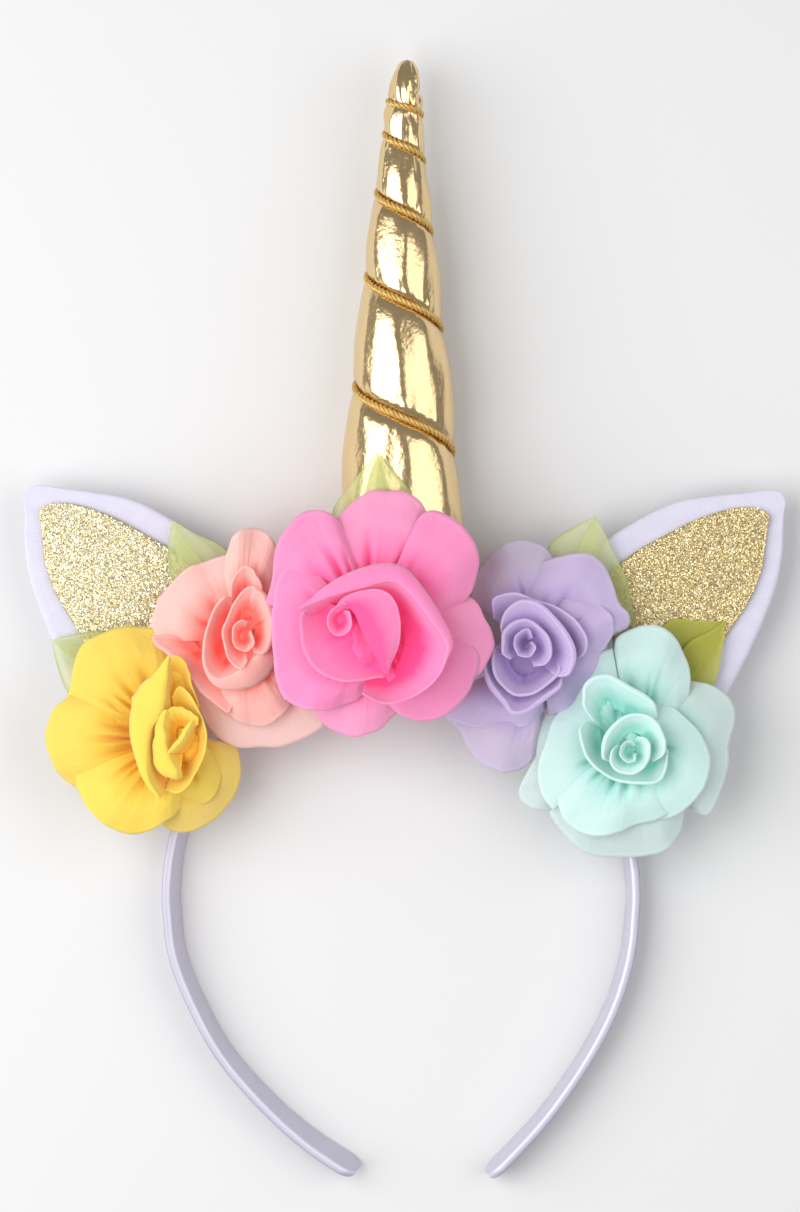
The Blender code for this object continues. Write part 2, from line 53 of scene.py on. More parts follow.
# The photograph looks straight down on the part. Places read from it are in its own pixels.
PHOTO_PIXEL = 0.00026
PHOTO_ORIGIN = (401.0, 619.2)
PHOTO_MIDDLE = (400.0, 606.0)
PHOTO_HEIGHT = 1212
CAMERA_HEIGHT = 2.0
SUBJECT_HEIGHT = 0.013
SENSOR = 36.0


def from_photo(points):
    """Turns places in the photograph into metres across and along the part."""
    places = np.asarray(points, float)
    return (places - PHOTO_ORIGIN) * (PHOTO_PIXEL, -PHOTO_PIXEL)


def linear(red, green, blue):
    """A colour as seen on screen, 0 to 255, as the shaders take it."""
    found = []
    for value in (red, green, blue):
        share = value / 255
        found.append(share / 12.92 if share <= 0.04045 else ((share + 0.055) / 1.055) ** 2.4)
    return (*found, 1.0)


def smooth_through(values, shares):
    """Reads a smooth curve through values, where the shares 0 to 1 count the values evenly."""
    values = np.asarray(values, float)
    flat = values.ndim == 1
    if flat:
        values = values[:, None]
    last = len(values) - 1
    at = np.clip(np.asarray(shares, float) * last, 0, last - 1e-9)
    i = at.astype(int)
    t = (at - i)[:, None]
    slopes = np.gradient(values, axis=0)
    found = (
        values[i] * (1 + 2 * t) * (1 - t) ** 2
        + slopes[i] * t * (1 - t) ** 2
        + values[i + 1] * t * t * (3 - 2 * t)
        + slopes[i + 1] * t * t * (t - 1)
    )
    return found[:, 0] if flat else found


def smooth_read(rows, key, value, at):
    """Reads a column of a table between its rows, on one smooth curve through them."""
    places = [row[key] for row in rows]
    sizes = [row[value] for row in rows]
    at = min(max(at, places[0]), places[-1])
    i = max(k for k in range(len(places) - 1) if places[k] <= at or k == 0)
    width = places[i + 1] - places[i]
    slopes = []
    for k in (i, i + 1):
        low = max(k - 1, 0)
        high = min(k + 1, len(places) - 1)
        slopes.append((sizes[high] - sizes[low]) / (places[high] - places[low]))
    t = (at - places[i]) / width
    return (
        sizes[i] * (1 + 2 * t) * (1 - t) ** 2
        + slopes[0] * width * t * (1 - t) ** 2
        + sizes[i + 1] * t * t * (3 - 2 * t)
        + slopes[1] * width * t * t * (t - 1)
    )


# Shader groups


def new_group(name, inputs, outputs):
    """An empty shader group with named inputs and outputs, each (name, kind, value)."""
    group = bpy.data.node_groups.new(name, "ShaderNodeTree")
    for label, kind, value in inputs:
        socket = group.interface.new_socket(label, in_out="INPUT", socket_type="NodeSocket" + kind)
        socket.default_value = value
    for label, kind in outputs:
        group.interface.new_socket(label, in_out="OUTPUT", socket_type="NodeSocket" + kind)
    start = group.nodes.new("NodeGroupInput")
    end = group.nodes.new("NodeGroupOutput")
    return group, start, end


def add_node(tree, kind, inputs=(), links=(), **settings):
    """A shader node, with values and links set on its named inputs."""
    node = tree.nodes.new("ShaderNode" + kind)
    for key, value in settings.items():
        setattr(node, key, value)
    for label, value in dict(inputs).items():
        node.inputs[label].default_value = value
    for label, source in dict(links).items():
        tree.links.new(source, node.inputs[label])
    return node


def object_place(tree):
    """The place on the piece itself, which textures follow."""
    return add_node(tree, "TexCoord").outputs["Object"]


def cloudy(tree, scale):
    """A soft unevenness from 0 to 1."""
    node = add_node(tree, "TexNoise", inputs={"Scale": scale}, links={"Vector": object_place(tree)})
    return node.outputs["Fac"]


def painted(tree, name):
    """The three masks that are painted on a piece under that name."""
    marks = add_node(tree, "Attribute", attribute_name=name)
    return add_node(tree, "SeparateColor", links={"Color": marks.outputs["Color"]}).outputs


def mixed(tree, share, first, second, blend="MIX"):
    """A colour between two colours. Each may be a socket or a fixed colour."""
    node = tree.nodes.new("ShaderNodeMix")
    node.data_type = "RGBA"
    node.blend_type = blend
    for socket, value in ((node.inputs[0], share), (node.inputs[6], first), (node.inputs[7], second)):
        if isinstance(value, bpy.types.NodeSocket):
            tree.links.new(value, socket)
        else:
            socket.default_value = value
    return node.outputs[2]


def sums(tree, operation, first, second=0.0, clamp=False):
    """The result of a sum on two numbers. Each may be a socket or a fixed number."""
    node = add_node(tree, "Math", operation=operation, use_clamp=clamp)
    for k, value in enumerate((first, second)):
        if isinstance(value, bpy.types.NodeSocket):
            tree.links.new(value, node.inputs[k])
        else:
            node.inputs[k].default_value = value
    return node.outputs[0]


def make_weave_group():
    """Crossed threads: their height, and a mask that is 1 between the threads."""
    group, start, end = new_group(
        "plain_weave",
        [("Threads", "Float", 3000.0), ("Unevenness", "Float", 0.6)],
        [("Height", "Float"), ("Holes", "Float")],
    )
    place = object_place(group)
    waves = []
    for direction in ("X", "Y"):
        wave = add_node(group, "TexWave", wave_type="BANDS", bands_direction=direction)
        group.links.new(place, wave.inputs["Vector"])
        group.links.new(start.outputs["Threads"], wave.inputs["Scale"])
        group.links.new(start.outputs["Unevenness"], wave.inputs["Distortion"])
        waves.append(wave.outputs["Fac"])
    height = sums(group, "MAXIMUM", *waves)
    group.links.new(height, end.inputs["Height"])
    holes = sums(group, "SUBTRACT", 1.0, height, clamp=True)
    group.links.new(holes, end.inputs["Holes"])
    return group


# Painted light in the chiffon colour: shade deepens in folds and towards petal roots, a thin painted
# highlight runs along each rim, and folds and single layers get a painted glow. The unevenness is random
# tone.
FOLD_UNEVENNESS = 0.25
FOLD_LEVEL = 0.12
SINGLE_SHARE = 0.85
SINGLE_PAINTED_GLOW = 0.5
RIM_PAINTED_HIGHLIGHT_BAND = {"From Min": 0.06, "From Max": 0.0, "To Max": 0.85}
FOLD_PAINTED_SHADE_BAND = {"From Min": 0.32, "From Max": 1.0, "To Max": 0.85}


def make_cloth_colour_and_painted_light_group():
    """Chiffon colour: painted shade in folds and at roots, painted rim highlight, greyer single layers,
    painted glow.
    """
    group, start, end = new_group(
        "gathered_colour_and_painted_light",
        [
            ("Face", "Color", (1, 1, 1, 1)),
            ("Deep", "Color", (1, 1, 1, 1)),
            ("Rim", "Color", (1, 1, 1, 1)),
            ("Single Layer", "Color", (1, 1, 1, 1)),
        ],
        [("Color", "Color"), ("Single", "Float"), ("PaintedGlow", "Color")],
    )
    depth, painted_crease_shade, single = painted(group, "cloth")
    uneven = sums(group, "MULTIPLY", cloudy(group, 180.0), FOLD_UNEVENNESS)
    single_share = sums(group, "MULTIPLY", single, SINGLE_SHARE)
    body = mixed(group, single_share, start.outputs["Face"], start.outputs["Single Layer"])
    # Painted highlight: a thin pale line along each petal's rim.
    pale = add_node(group, "MapRange", inputs=RIM_PAINTED_HIGHLIGHT_BAND, links={"Value": depth})
    body = mixed(group, pale.outputs["Result"], body, start.outputs["Rim"])
    # Painted shade: darker towards each petal's root and in its creases, give or take a random unevenness.
    shaded = add_node(group, "MapRange", inputs=FOLD_PAINTED_SHADE_BAND, links={"Value": depth})
    painted_shade_and_tone = sums(group, "ADD", shaded.outputs["Result"], painted_crease_shade, clamp=True)
    painted_shade_and_tone = sums(group, "ADD", painted_shade_and_tone, sums(group, "SUBTRACT", uneven, FOLD_LEVEL), clamp=True)
    body = mixed(group, painted_shade_and_tone, body, start.outputs["Deep"])
    group.links.new(body, end.inputs["Color"])
    # Painted glow: single layers and folds give off light of their own, though the cloth is no lamp.
    painted_glow_share = sums(group, "MULTIPLY", single, SINGLE_PAINTED_GLOW)
    painted_single_glow = mixed(group, painted_glow_share, (0, 0, 0, 1), start.outputs["Single Layer"])
    group.links.new(mixed(group, painted_shade_and_tone, painted_single_glow, start.outputs["Deep"]), end.inputs["PaintedGlow"])
    group.links.new(single, end.inputs["Single"])
    return group


def make_grain_group():
    """Fine uneven grain: a height for bumps and a mask for roughness."""
    group, start, end = new_group(
        "fine_grain",
        [("Scale", "Float", 2000.0), ("Coarse Scale", "Float", 300.0), ("Coarse Share", "Float", 0.4)],
        [("Height", "Float"), ("Mask", "Float")],
    )
    place = object_place(group)
    fine = add_node(group, "TexNoise", inputs={"Detail": 3.0})
    coarse = add_node(group, "TexNoise", inputs={"Detail": 2.0})
    group.links.new(start.outputs["Scale"], fine.inputs["Scale"])
    group.links.new(start.outputs["Coarse Scale"], coarse.inputs["Scale"])
    for texture in (fine, coarse):
        group.links.new(place, texture.inputs["Vector"])
    share = sums(group, "MULTIPLY", coarse.outputs["Fac"], start.outputs["Coarse Share"])
    group.links.new(sums(group, "ADD", fine.outputs["Fac"], share), end.inputs["Height"])
    group.links.new(coarse.outputs["Fac"], end.inputs["Mask"])
    return group


WEAVE = make_weave_group()
CLOTH_COLOUR_AND_PAINTED_LIGHT = make_cloth_colour_and_painted_light_group()
GRAIN = make_grain_group()


def new_material(name, **constants):
    """A material whose shader has the given constants on its own sockets."""
    made = bpy.data.materials.new(name)
    made.use_nodes = True
    shader = made.node_tree.nodes["Principled BSDF"]
    for label, value in constants.items():
        shader.inputs[label.replace("_", " ")].default_value = value
    return made, made.node_tree, shader


def place_group(tree, group, **values):
    """A shader group placed in a material with its own values."""
    node = tree.nodes.new("ShaderNodeGroup")
    node.node_tree = group
    for label, value in values.items():
        node.inputs[label.replace("_", " ")].default_value = value
    return node


def add_bump(tree, shader, height, strength, distance):
    """Fine relief on a material."""
    bump = add_node(tree, "Bump", inputs={"Strength": strength, "Distance": distance})
    tree.links.new(height, bump.inputs["Height"])
    tree.links.new(bump.outputs["Normal"], shader.inputs["Normal"])


SINGLE_CLEAR = 0.24
LEAF_COVER = {"plain": 0.34, "holes": 0.10, "hem": 0.28, "folded": 0.20}
LEAF_HEM_SHADE = 0.7


def make_chiffon(name, face, painted_shade, rim, single, painted_glow):
    """Soft matt chiffon, with a painted glow in its folds and single layers. One layer is a little clear."""
    made, tree, shader = new_material(
        "chiffon_" + name,
        Roughness=0.72,
        Specular_IOR_Level=0.25,
        Sheen_Weight=0.25,
        Sheen_Roughness=0.6,
        Subsurface_Weight=0.15,
        Subsurface_Scale=0.0012,
        Subsurface_Radius=(1.0, 0.6, 0.5),
        Emission_Strength=painted_glow,
    )
    colour = place_group(
        tree,
        CLOTH_COLOUR_AND_PAINTED_LIGHT,
        Face=linear(*face),
        Deep=linear(*painted_shade),
        Rim=linear(*rim),
        Single_Layer=linear(*single),
    )
    tree.links.new(colour.outputs["Color"], shader.inputs["Base Color"])
    # The painted glow goes out as emission.
    tree.links.new(colour.outputs["PaintedGlow"], shader.inputs["Emission Color"])
    crinkle = place_group(tree, GRAIN, Scale=900.0, Coarse_Scale=260.0, Coarse_Share=1.5)
    add_bump(tree, shader, crinkle.outputs["Height"], 0.30, 0.0004)
    clear = sums(tree, "MULTIPLY", colour.outputs["Single"], SINGLE_CLEAR)
    tree.links.new(sums(tree, "SUBTRACT", 1.0, clear), shader.inputs["Alpha"])
    return made


def make_organza():
    """Sheer leaf cloth: threads show, and what lies under it shows through."""
    made, tree, shader = new_material(
        "leaf_organza", Roughness=0.5, Specular_IOR_Level=0.3, Sheen_Weight=0.2
    )
    hem, folded = painted(tree, "hem")[:2]
    colour = mixed(tree, cloudy(tree, 90.0), linear(230, 236, 174), linear(216, 226, 138))
    colour = mixed(tree, sums(tree, "MULTIPLY", hem, LEAF_HEM_SHADE), colour, linear(168, 188, 108))
    colour = mixed(tree, folded, colour, linear(198, 198, 84))
    tree.links.new(colour, shader.inputs["Base Color"])
    weave = place_group(tree, WEAVE, Threads=1500.0)
    add_bump(tree, shader, weave.outputs["Height"], 0.2, 0.00015)
    holes = sums(tree, "MULTIPLY", weave.outputs["Holes"], LEAF_COVER["holes"])
    dense = sums(tree, "SUBTRACT", LEAF_COVER["plain"], holes)
    dense = sums(tree, "ADD", dense, sums(tree, "MULTIPLY", hem, LEAF_COVER["hem"]))
    dense = sums(tree, "ADD", dense, sums(tree, "MULTIPLY", folded, LEAF_COVER["folded"]))
    tree.links.new(dense, shader.inputs["Alpha"])
    return made


def make_grained(name, low, high, grain_values, bump, **constants):
    """A finish in two shades that follow its grain, with fine relief."""
    made, tree, shader = new_material(name, **constants)
    grain = place_group(tree, GRAIN, **grain_values)
    tree.links.new(mixed(tree, grain.outputs["Mask"], low, high), shader.inputs["Base Color"])
    add_bump(tree, shader, grain.outputs["Height"], *bump)
    return made, tree, shader, grain


def make_foil():
    """Metallic gold cloth with a fine crushed grain."""
    made, tree, shader, grain = make_grained(
        "gold_foil",
        (0.80, 0.58, 0.29, 1),
        (0.86, 0.66, 0.38, 1),
        {"Scale": 1000.0, "Coarse_Scale": 420.0, "Coarse_Share": 0.8},
        (0.45, 0.00014),
        Metallic=1.0,
    )
    rough = add_node(tree, "MapRange", inputs={"To Min": 0.12, "To Max": 0.20})
    tree.links.new(grain.outputs["Mask"], rough.inputs["Value"])
    tree.links.new(rough.outputs["Result"], shader.inputs["Roughness"])
    return made


def make_satin():
    """Satin ribbon, with painted shade on its outer face and a painted highlight along its top inner edge.
    """
    made, tree, shader = new_material(
        "band_satin",
        Roughness=0.26,
        Specular_IOR_Level=0.8,
        Sheen_Weight=0.1,
        Sheen_Roughness=0.35,
        Coat_Weight=0.5,
        Coat_Roughness=0.12,
    )
    grain = place_group(tree, GRAIN, Scale=900.0, Coarse_Scale=120.0)
    colour = mixed(tree, grain.outputs["Mask"], linear(182, 178, 200), linear(196, 192, 212))
    # Painted shade on the outer face and a painted highlight along the top inner edge.
    outer, fold = painted(tree, "sides")[:2]
    colour = mixed(tree, outer, colour, linear(158, 154, 178))
    colour = mixed(tree, fold, colour, linear(224, 222, 236))
    tree.links.new(colour, shader.inputs["Base Color"])
    weave = place_group(tree, WEAVE, Threads=2200.0)
    add_bump(tree, shader, weave.outputs["Height"], 0.15, 0.0001)
    return made


def make_glitter():
    """Flakes of gold foil, each with its own shade, set in its colour attribute."""
    made, tree, shader = new_material("gold_glitter", Metallic=0.9, Roughness=0.30)
    shade = add_node(tree, "Attribute", attribute_name="flake")
    tree.links.new(shade.outputs["Color"], shader.inputs["Base Color"])
    grain = place_group(tree, GRAIN, Scale=6000.0)
    add_bump(tree, shader, grain.outputs["Height"], 0.25, 0.0001)
    return made


# For each rose: face colour, painted shade colour, single-layer colour, painted glow strength and painted
# rim highlight colour.
CHIFFON_COLOURS = {
    "pink": {
        "face": (250, 138, 190), "painted_shade": (244, 72, 142), "single": (248, 164, 204), "painted_glow": 0.16,
        "rim": (250, 164, 206),
    },
    "salmon": {
        "face": (254, 184, 176), "painted_shade": (244, 98, 84), "single": (254, 218, 212), "painted_glow": 0.2,
        "rim": (252, 208, 202),
    },
    "yellow": {
        "face": (247, 212, 84), "painted_shade": (236, 166, 18), "single": (240, 209, 112), "painted_glow": 0.1,
        "rim": (248, 219, 100),
    },
    "lavender": {
        "face": (204, 183, 226), "painted_shade": (155, 130, 190), "single": (210, 198, 219), "painted_glow": 0.05,
        "rim": (224, 212, 240),
    },
    "mint": {
        "face": (206, 240, 235), "painted_shade": (138, 210, 196), "single": (214, 229, 225), "painted_glow": 0.04,
        "rim": (230, 247, 244),
    },
}
CHIFFON = {name: make_chiffon(name, **shades) for name, shades in CHIFFON_COLOURS.items()}
ORGANZA = make_organza()
FOIL = make_foil()
CORD = make_grained(
    "gold_cord",
    linear(186, 142, 62),
    linear(240, 210, 134),
    {"Scale": 5200.0, "Coarse_Scale": 900.0},
    (0.5, 0.0001),
    Metallic=0.5,
    Roughness=0.35,
)[0]
SATIN = make_satin()
FELT = make_grained(
    "ear_felt",
    linear(212, 209, 229),
    linear(223, 221, 238),
    {"Scale": 2600.0, "Coarse_Scale": 260.0},
    (0.6, 0.0003),
    Roughness=0.95,
    Specular_IOR_Level=0.1,
    Sheen_Weight=0.35,
    Sheen_Roughness=0.7,
)[0]
GLITTER = make_glitter()


# Meshes


def grid_faces(rows, columns, offset=0, ring=False):
    """The quads between neighbouring points of a grid."""
    i, j = np.meshgrid(np.arange(rows - 1), np.arange(columns if ring else columns - 1), indexing="ij")
    n = (j + 1) % columns
    quads = np.stack([i * columns + j, i * columns + n, (i + 1) * columns + n, (i + 1) * columns + j], -1)
    return (quads.reshape(-1, 4) + offset).tolist()


def end_faces(sides, count):
    """The faces that close a tube of rings, which has that many points in all."""
    return [list(range(sides)), list(range(count - sides, count))]


def unit(vectors, least=0.0):
    """The same directions, each one long."""
    return vectors / (np.linalg.norm(vectors, axis=1)[:, None] + least)


def eased(share):
    """A share from 0 to 1 that starts and ends gently."""
    return share * share * (3 - 2 * share)


def raised(plan, heights):
    """The points over a plan, each at its height."""
    return np.concatenate([plan, heights[..., None]], -1)


def cloth_area(grid):
    edges = np.diff(grid, axis=0)[:, :-1], np.diff(grid, axis=1)[:-1]
    return float(np.linalg.norm(np.cross(*edges), axis=2).sum())


def add_piece(name, points, faces, finish, replaced=(), colours=None, closed=False):
    """One piece of the model: a mesh that rides on the part and stands for CAD nodes."""
    mesh = bpy.data.meshes.new(name)
    mesh.from_pydata([tuple(p) for p in points], [], [tuple(int(k) for k in f) for f in faces])
    mesh.shade_smooth()
    mesh.materials.append(finish)
    if colours is not None:
        label, values = colours
        layer = mesh.color_attributes.new(label, "FLOAT_COLOR", "POINT")
        values = np.asarray(values, np.float32)
        full = np.ones((len(values), 4), np.float32)
        full[:, :3] = values
        layer.data.foreach_set("color", full.ravel())
    piece = bpy.data.objects.new(name, mesh)
    bpy.context.scene.collection.objects.link(piece)
    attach(piece, "root")
    if replaced:
        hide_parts(*replaced)
    if closed:
        turn_outwards(piece)
    return piece


def thicken(piece, thickness):
    """Gives a piece made of one surface the thickness of its cloth."""
    solid = piece.modifiers.new("cloth thickness", "SOLIDIFY")
    solid.thickness = thickness
    solid.offset = 0.0


def turn_outwards(piece):
    """Turns the faces of a closed piece outwards."""
    shaped = bmesh.new()
    shaped.from_mesh(piece.data)
    bmesh.ops.recalc_face_normals(shaped, faces=shaped.faces)
    shaped.to_mesh(piece.data)
    shaped.free()


# Hair band

BAND_SPAN = 0.1253
BAND_ARCH_HEIGHT = 0.0663
BAND_ARM_DROP = 0.0725
BAND_DEPTH = 0.0090
BAND_WALL = 0.0025
BAND_ROUND = 0.0009
BAND_TIP_ROUND = 0.0045
BAND_TIP_THIN = 0.06
BAND_TIP_EXTRA = 0.3
BAND_STATIONS = 260
BAND_ARCH_STEP = 6
BAND_CORNER_POINTS = 5
BAND_PAINTED_SHADE_SHARE = 0.4
BAND_PAINTED_HIGHLIGHT = (0.5, 1.0, 0.5)
BAND_ARMS = (
    {"drop": 0.00, "left": 1.000, "right": 1.000, "left_lean": 17, "right_lean": 10},
    {"drop": 0.20, "left": 0.975, "right": 0.979, "left_lean": 17, "right_lean": 11},
    {"drop": 0.40, "left": 0.888, "right": 0.911, "left_lean": 18, "right_lean": 12},
    {"drop": 0.60, "left": 0.755, "right": 0.791, "left_lean": 19, "right_lean": 13},
    {"drop": 0.80, "left": 0.548, "right": 0.629, "left_lean": 21, "right_lean": 13},
    {"drop": 0.92, "left": 0.388, "right": 0.505, "left_lean": 24, "right_lean": 14},
    {"drop": 1.00, "left": 0.250, "right": 0.415, "left_lean": 25, "right_lean": 14},
)
BAND_CENTRE = (0.0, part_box("hair_band")[0].y + BAND_ARM_DROP)


def arch_point(degrees, off=0.0):
    """A point of the band's outer edge over the head, or one that far outside it."""
    across = BAND_SPAN / 2
    cos, sin = math.cos(math.radians(degrees)), math.sin(math.radians(degrees))
    normal = math.hypot(BAND_ARCH_HEIGHT * cos, across * sin)
    x = across * cos + off * BAND_ARCH_HEIGHT * cos / normal
    y = BAND_ARCH_HEIGHT * sin + off * across * sin / normal
    return BAND_CENTRE[0] + x, BAND_CENTRE[1] + y


def band_outline():
    """Points of the band's outer edge from the left tip to the right one, each with its lean."""
    outline = []
    steps = 2 * len(BAND_ARMS)
    for side, sign in (("left", -1), ("right", 1)):
        arm = []
        for i in range(1, steps + 1):
            drop = i / steps
            reach = smooth_read(BAND_ARMS, "drop", side, drop) * BAND_SPAN / 2
            lean = smooth_read(BAND_ARMS, "drop", side + "_lean", drop)
            arm.append((BAND_CENTRE[0] + sign * reach, BAND_CENTRE[1] - drop * BAND_ARM_DROP, lean))
        past = np.array(arm[-1]) + BAND_TIP_EXTRA * (np.array(arm[-1]) - np.array(arm[-2]))
        arm.append(tuple(past))
        if side == "left":
            outline += arm[::-1]
            left, right = BAND_ARMS[0]["left_lean"], BAND_ARMS[0]["right_lean"]
            for degrees in range(180, -1, -BAND_ARCH_STEP):
                share = degrees / 180
                outline.append((*arch_point(degrees), left * share + right * (1 - share)))
        else:
            outline += arm
    return np.array(outline)


def evenly(points, count):
    """The same smooth curve read at even distances."""
    fine = smooth_through(points, np.linspace(0, 1, 12 * len(points)))
    steps = np.linalg.norm(np.diff(fine[:, :2], axis=0), axis=1)
    run = np.concatenate([[0.0], np.cumsum(steps)])
    wanted = np.linspace(0, run[-1], count)
    return np.stack([np.interp(wanted, run, fine[:, k]) for k in range(fine.shape[1])], 1), run[-1]


def make_band():
    """A satin-covered strip with rounded edges, which ends in round tips."""
    even, length = evenly(band_outline(), 4 * BAND_STATIONS)
    share = (1 - np.cos(np.linspace(0, math.pi, BAND_STATIONS))) / 2
    along = share * length
    fine = np.linspace(0, length, len(even))
    places = np.stack([np.interp(along, fine, even[:, k]) for k in range(3)], 1)
    tangent = unit(np.gradient(places[:, :2], axis=0))
    inward = np.stack([tangent[:, 1], -tangent[:, 0]], 1)
    section = []
    for x, z, first in (
        (BAND_ROUND, BAND_DEPTH - BAND_ROUND, math.pi),
        (BAND_WALL - BAND_ROUND, BAND_DEPTH - BAND_ROUND, math.pi / 2),
        (BAND_WALL - BAND_ROUND, BAND_ROUND, 0.0),
        (BAND_ROUND, BAND_ROUND, -math.pi / 2),
    ):
        for turn in np.linspace(0, math.pi / 2, BAND_CORNER_POINTS):
            angle = first - turn
            section.append((x + BAND_ROUND * math.cos(angle), z + BAND_ROUND * math.sin(angle)))
    section = np.array(section)
    from_tip = np.minimum(along, length - along)
    end = np.sqrt(1 - (1 - np.clip(from_tip / BAND_TIP_ROUND, 0, 1)) ** 2)
    end = BAND_TIP_THIN + (1 - BAND_TIP_THIN) * end
    lean = np.tan(np.radians(places[:, 2]))
    rows = []
    for inset, z in section:
        level = BAND_DEPTH / 2 + (z - BAND_DEPTH / 2) * end
        wall = BAND_WALL / 2 + (inset - BAND_WALL / 2) * (0.5 + 0.5 * end)
        off = wall + (BAND_DEPTH - level) * lean
        rows.append(raised(places[:, :2] + inward * off[:, None], level))
    count = len(section)
    points = np.array(rows).transpose(1, 0, 2).reshape(-1, 3)
    faces = grid_faces(BAND_STATIONS, count, ring=True) + end_faces(count, len(points))
    marks = np.zeros((count, 3))
    # Painted shade on the outer side; painted highlight along the top inner corner.
    marks[:, 0] = np.clip(1 - section[:, 0] / (BAND_PAINTED_SHADE_SHARE * BAND_WALL), 0, 1)
    marks[BAND_CORNER_POINTS : BAND_CORNER_POINTS + len(BAND_PAINTED_HIGHLIGHT), 1] = BAND_PAINTED_HIGHLIGHT
    paint = ("sides", np.tile(marks, (BAND_STATIONS, 1)))
    add_piece("satin_band", points, faces, SATIN, ["hair_band"], paint, closed=True)


# Horn and cord

HORN_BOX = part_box("horn")
HORN_LENGTH = 0.1513
HORN_RADIUS = 0.0152
HORN_SWELL = 0.12
HORN_SWELL_SHAPE = 0.8
HORN_LEAST_SIZE = 0.08
HORN_COLUMNS = 120
HORN_ROWS_PER_TURN = 30
HORN_HALF_TURNS = (-1.35, 12.6)
HORN_SECTIONS = (
    {"along": 0.000, "width": 0.890, "depth": 0.75},
    {"along": 0.110, "width": 1.000, "depth": 0.75},
    {"along": 0.230, "width": 0.947, "depth": 0.79},
    {"along": 0.388, "width": 0.842, "depth": 0.89},
    {"along": 0.586, "width": 0.641, "depth": 1.00},
    {"along": 0.737, "width": 0.474, "depth": 1.00},
    {"along": 0.854, "width": 0.335, "depth": 1.00},
    {"along": 0.924, "width": 0.285, "depth": 1.00},
    {"along": 0.965, "width": 0.240, "depth": 1.00},
    {"along": 0.988, "width": 0.185, "depth": 1.00},
    {"along": 1.000, "width": 0.090, "depth": 1.00},
)
CORD_DIAMETER = 0.0018
CORD_START = 0.931
CORD_FIRST_PITCH = 0.0172
CORD_PITCH_GROWTH = 0.0055
CORD_HALF_TURNS = (-0.7, 11.3)
CORD_STRANDS = 3
CORD_TWIST = 0.0042
CORD_TURN_POINTS = 420
CORD_STEP = 0.00032
STRAND_OFF_CENTRE = 0.52
STRAND_RADIUS = 0.45
STRAND_SIDES = 8
CORD_LIFT = -0.1
GAP = 0.0003
HORN_BASE = (0.0, BAND_CENTRE[1] + BAND_ARCH_HEIGHT + GAP)
HORN_HALF_DEPTH = max(row["width"] * row["depth"] * HORN_RADIUS for row in HORN_SECTIONS)
HORN_AXIS_HEIGHT = HORN_HALF_DEPTH + CORD_DIAMETER + 2 * GAP
HORN_TIP_LEAN = 0.0016
HORN_LEAN_SHAPE = 8
TIP_RINGS = 8
TIP_INSET = 0.0004
TIP_SHAPE = 1.6
TIP_CRUMPLE = {"size": 0.16, "round": 3, "along": 4}
TIP_END_WIDTH = 0.4

# Shares of the way from one turn of the cord to the next, and how closely dents and pleats follow.
PUCKER = 0.00016
PUCKER_REACH = 0.16
PUCKER_PLEATS = {"round": 7.0, "turn": 5.3, "along": 0.8}
PINCH = 0.0011
PINCH_REACH = 0.06
DENT = 0.00040
DENT_SPREAD = {"round": 3.2, "along": 1.1, "all": 0.9}
BASE_TUCK = 0.0022
BASE_TUCK_SHAPE = 0.7
BASE_PLEAT = 0.00035
BASE_PLEATS = 18


def cord_place(half_turns):
    """How far from the horn's tip the cord is, after that many half turns from the left side."""
    start = HORN_LENGTH * (1 - CORD_START)
    first = CORD_FIRST_PITCH * HORN_LENGTH * half_turns
    return start + first + CORD_PITCH_GROWTH * HORN_LENGTH * half_turns * half_turns


def horn_point(half_turns, side, swell, lift=0.0):
    """A point of the horn's skin. side is the angle round it, from +X through the front."""
    from_tip = min(max(cord_place(half_turns), 0.0), HORN_LENGTH)
    along = 1 - from_tip / HORN_LENGTH
    width = HORN_RADIUS * smooth_read(HORN_SECTIONS, "along", "width", along)
    depth = width * smooth_read(HORN_SECTIONS, "along", "depth", along)
    past_base = max(cord_place(half_turns) - HORN_LENGTH, 0.0)
    size = max(1 + HORN_SWELL * swell - past_base / HORN_RADIUS, HORN_LEAST_SIZE)
    x = HORN_BASE[0] + HORN_TIP_LEAN * along**HORN_LEAN_SHAPE + (width * size + lift) * math.cos(side)
    z = HORN_AXIS_HEIGHT + (depth * size + lift) * math.sin(side)
    inside = min(past_base / HORN_RADIUS, 1.0)
    pleat = BASE_PLEAT * (1 + math.cos(BASE_PLEATS * side)) * math.sin(math.pi * inside)
    tuck = BASE_TUCK * inside**BASE_TUCK_SHAPE
    return x, HORN_BASE[1] + HORN_LENGTH - from_tip + tuck + pleat, z


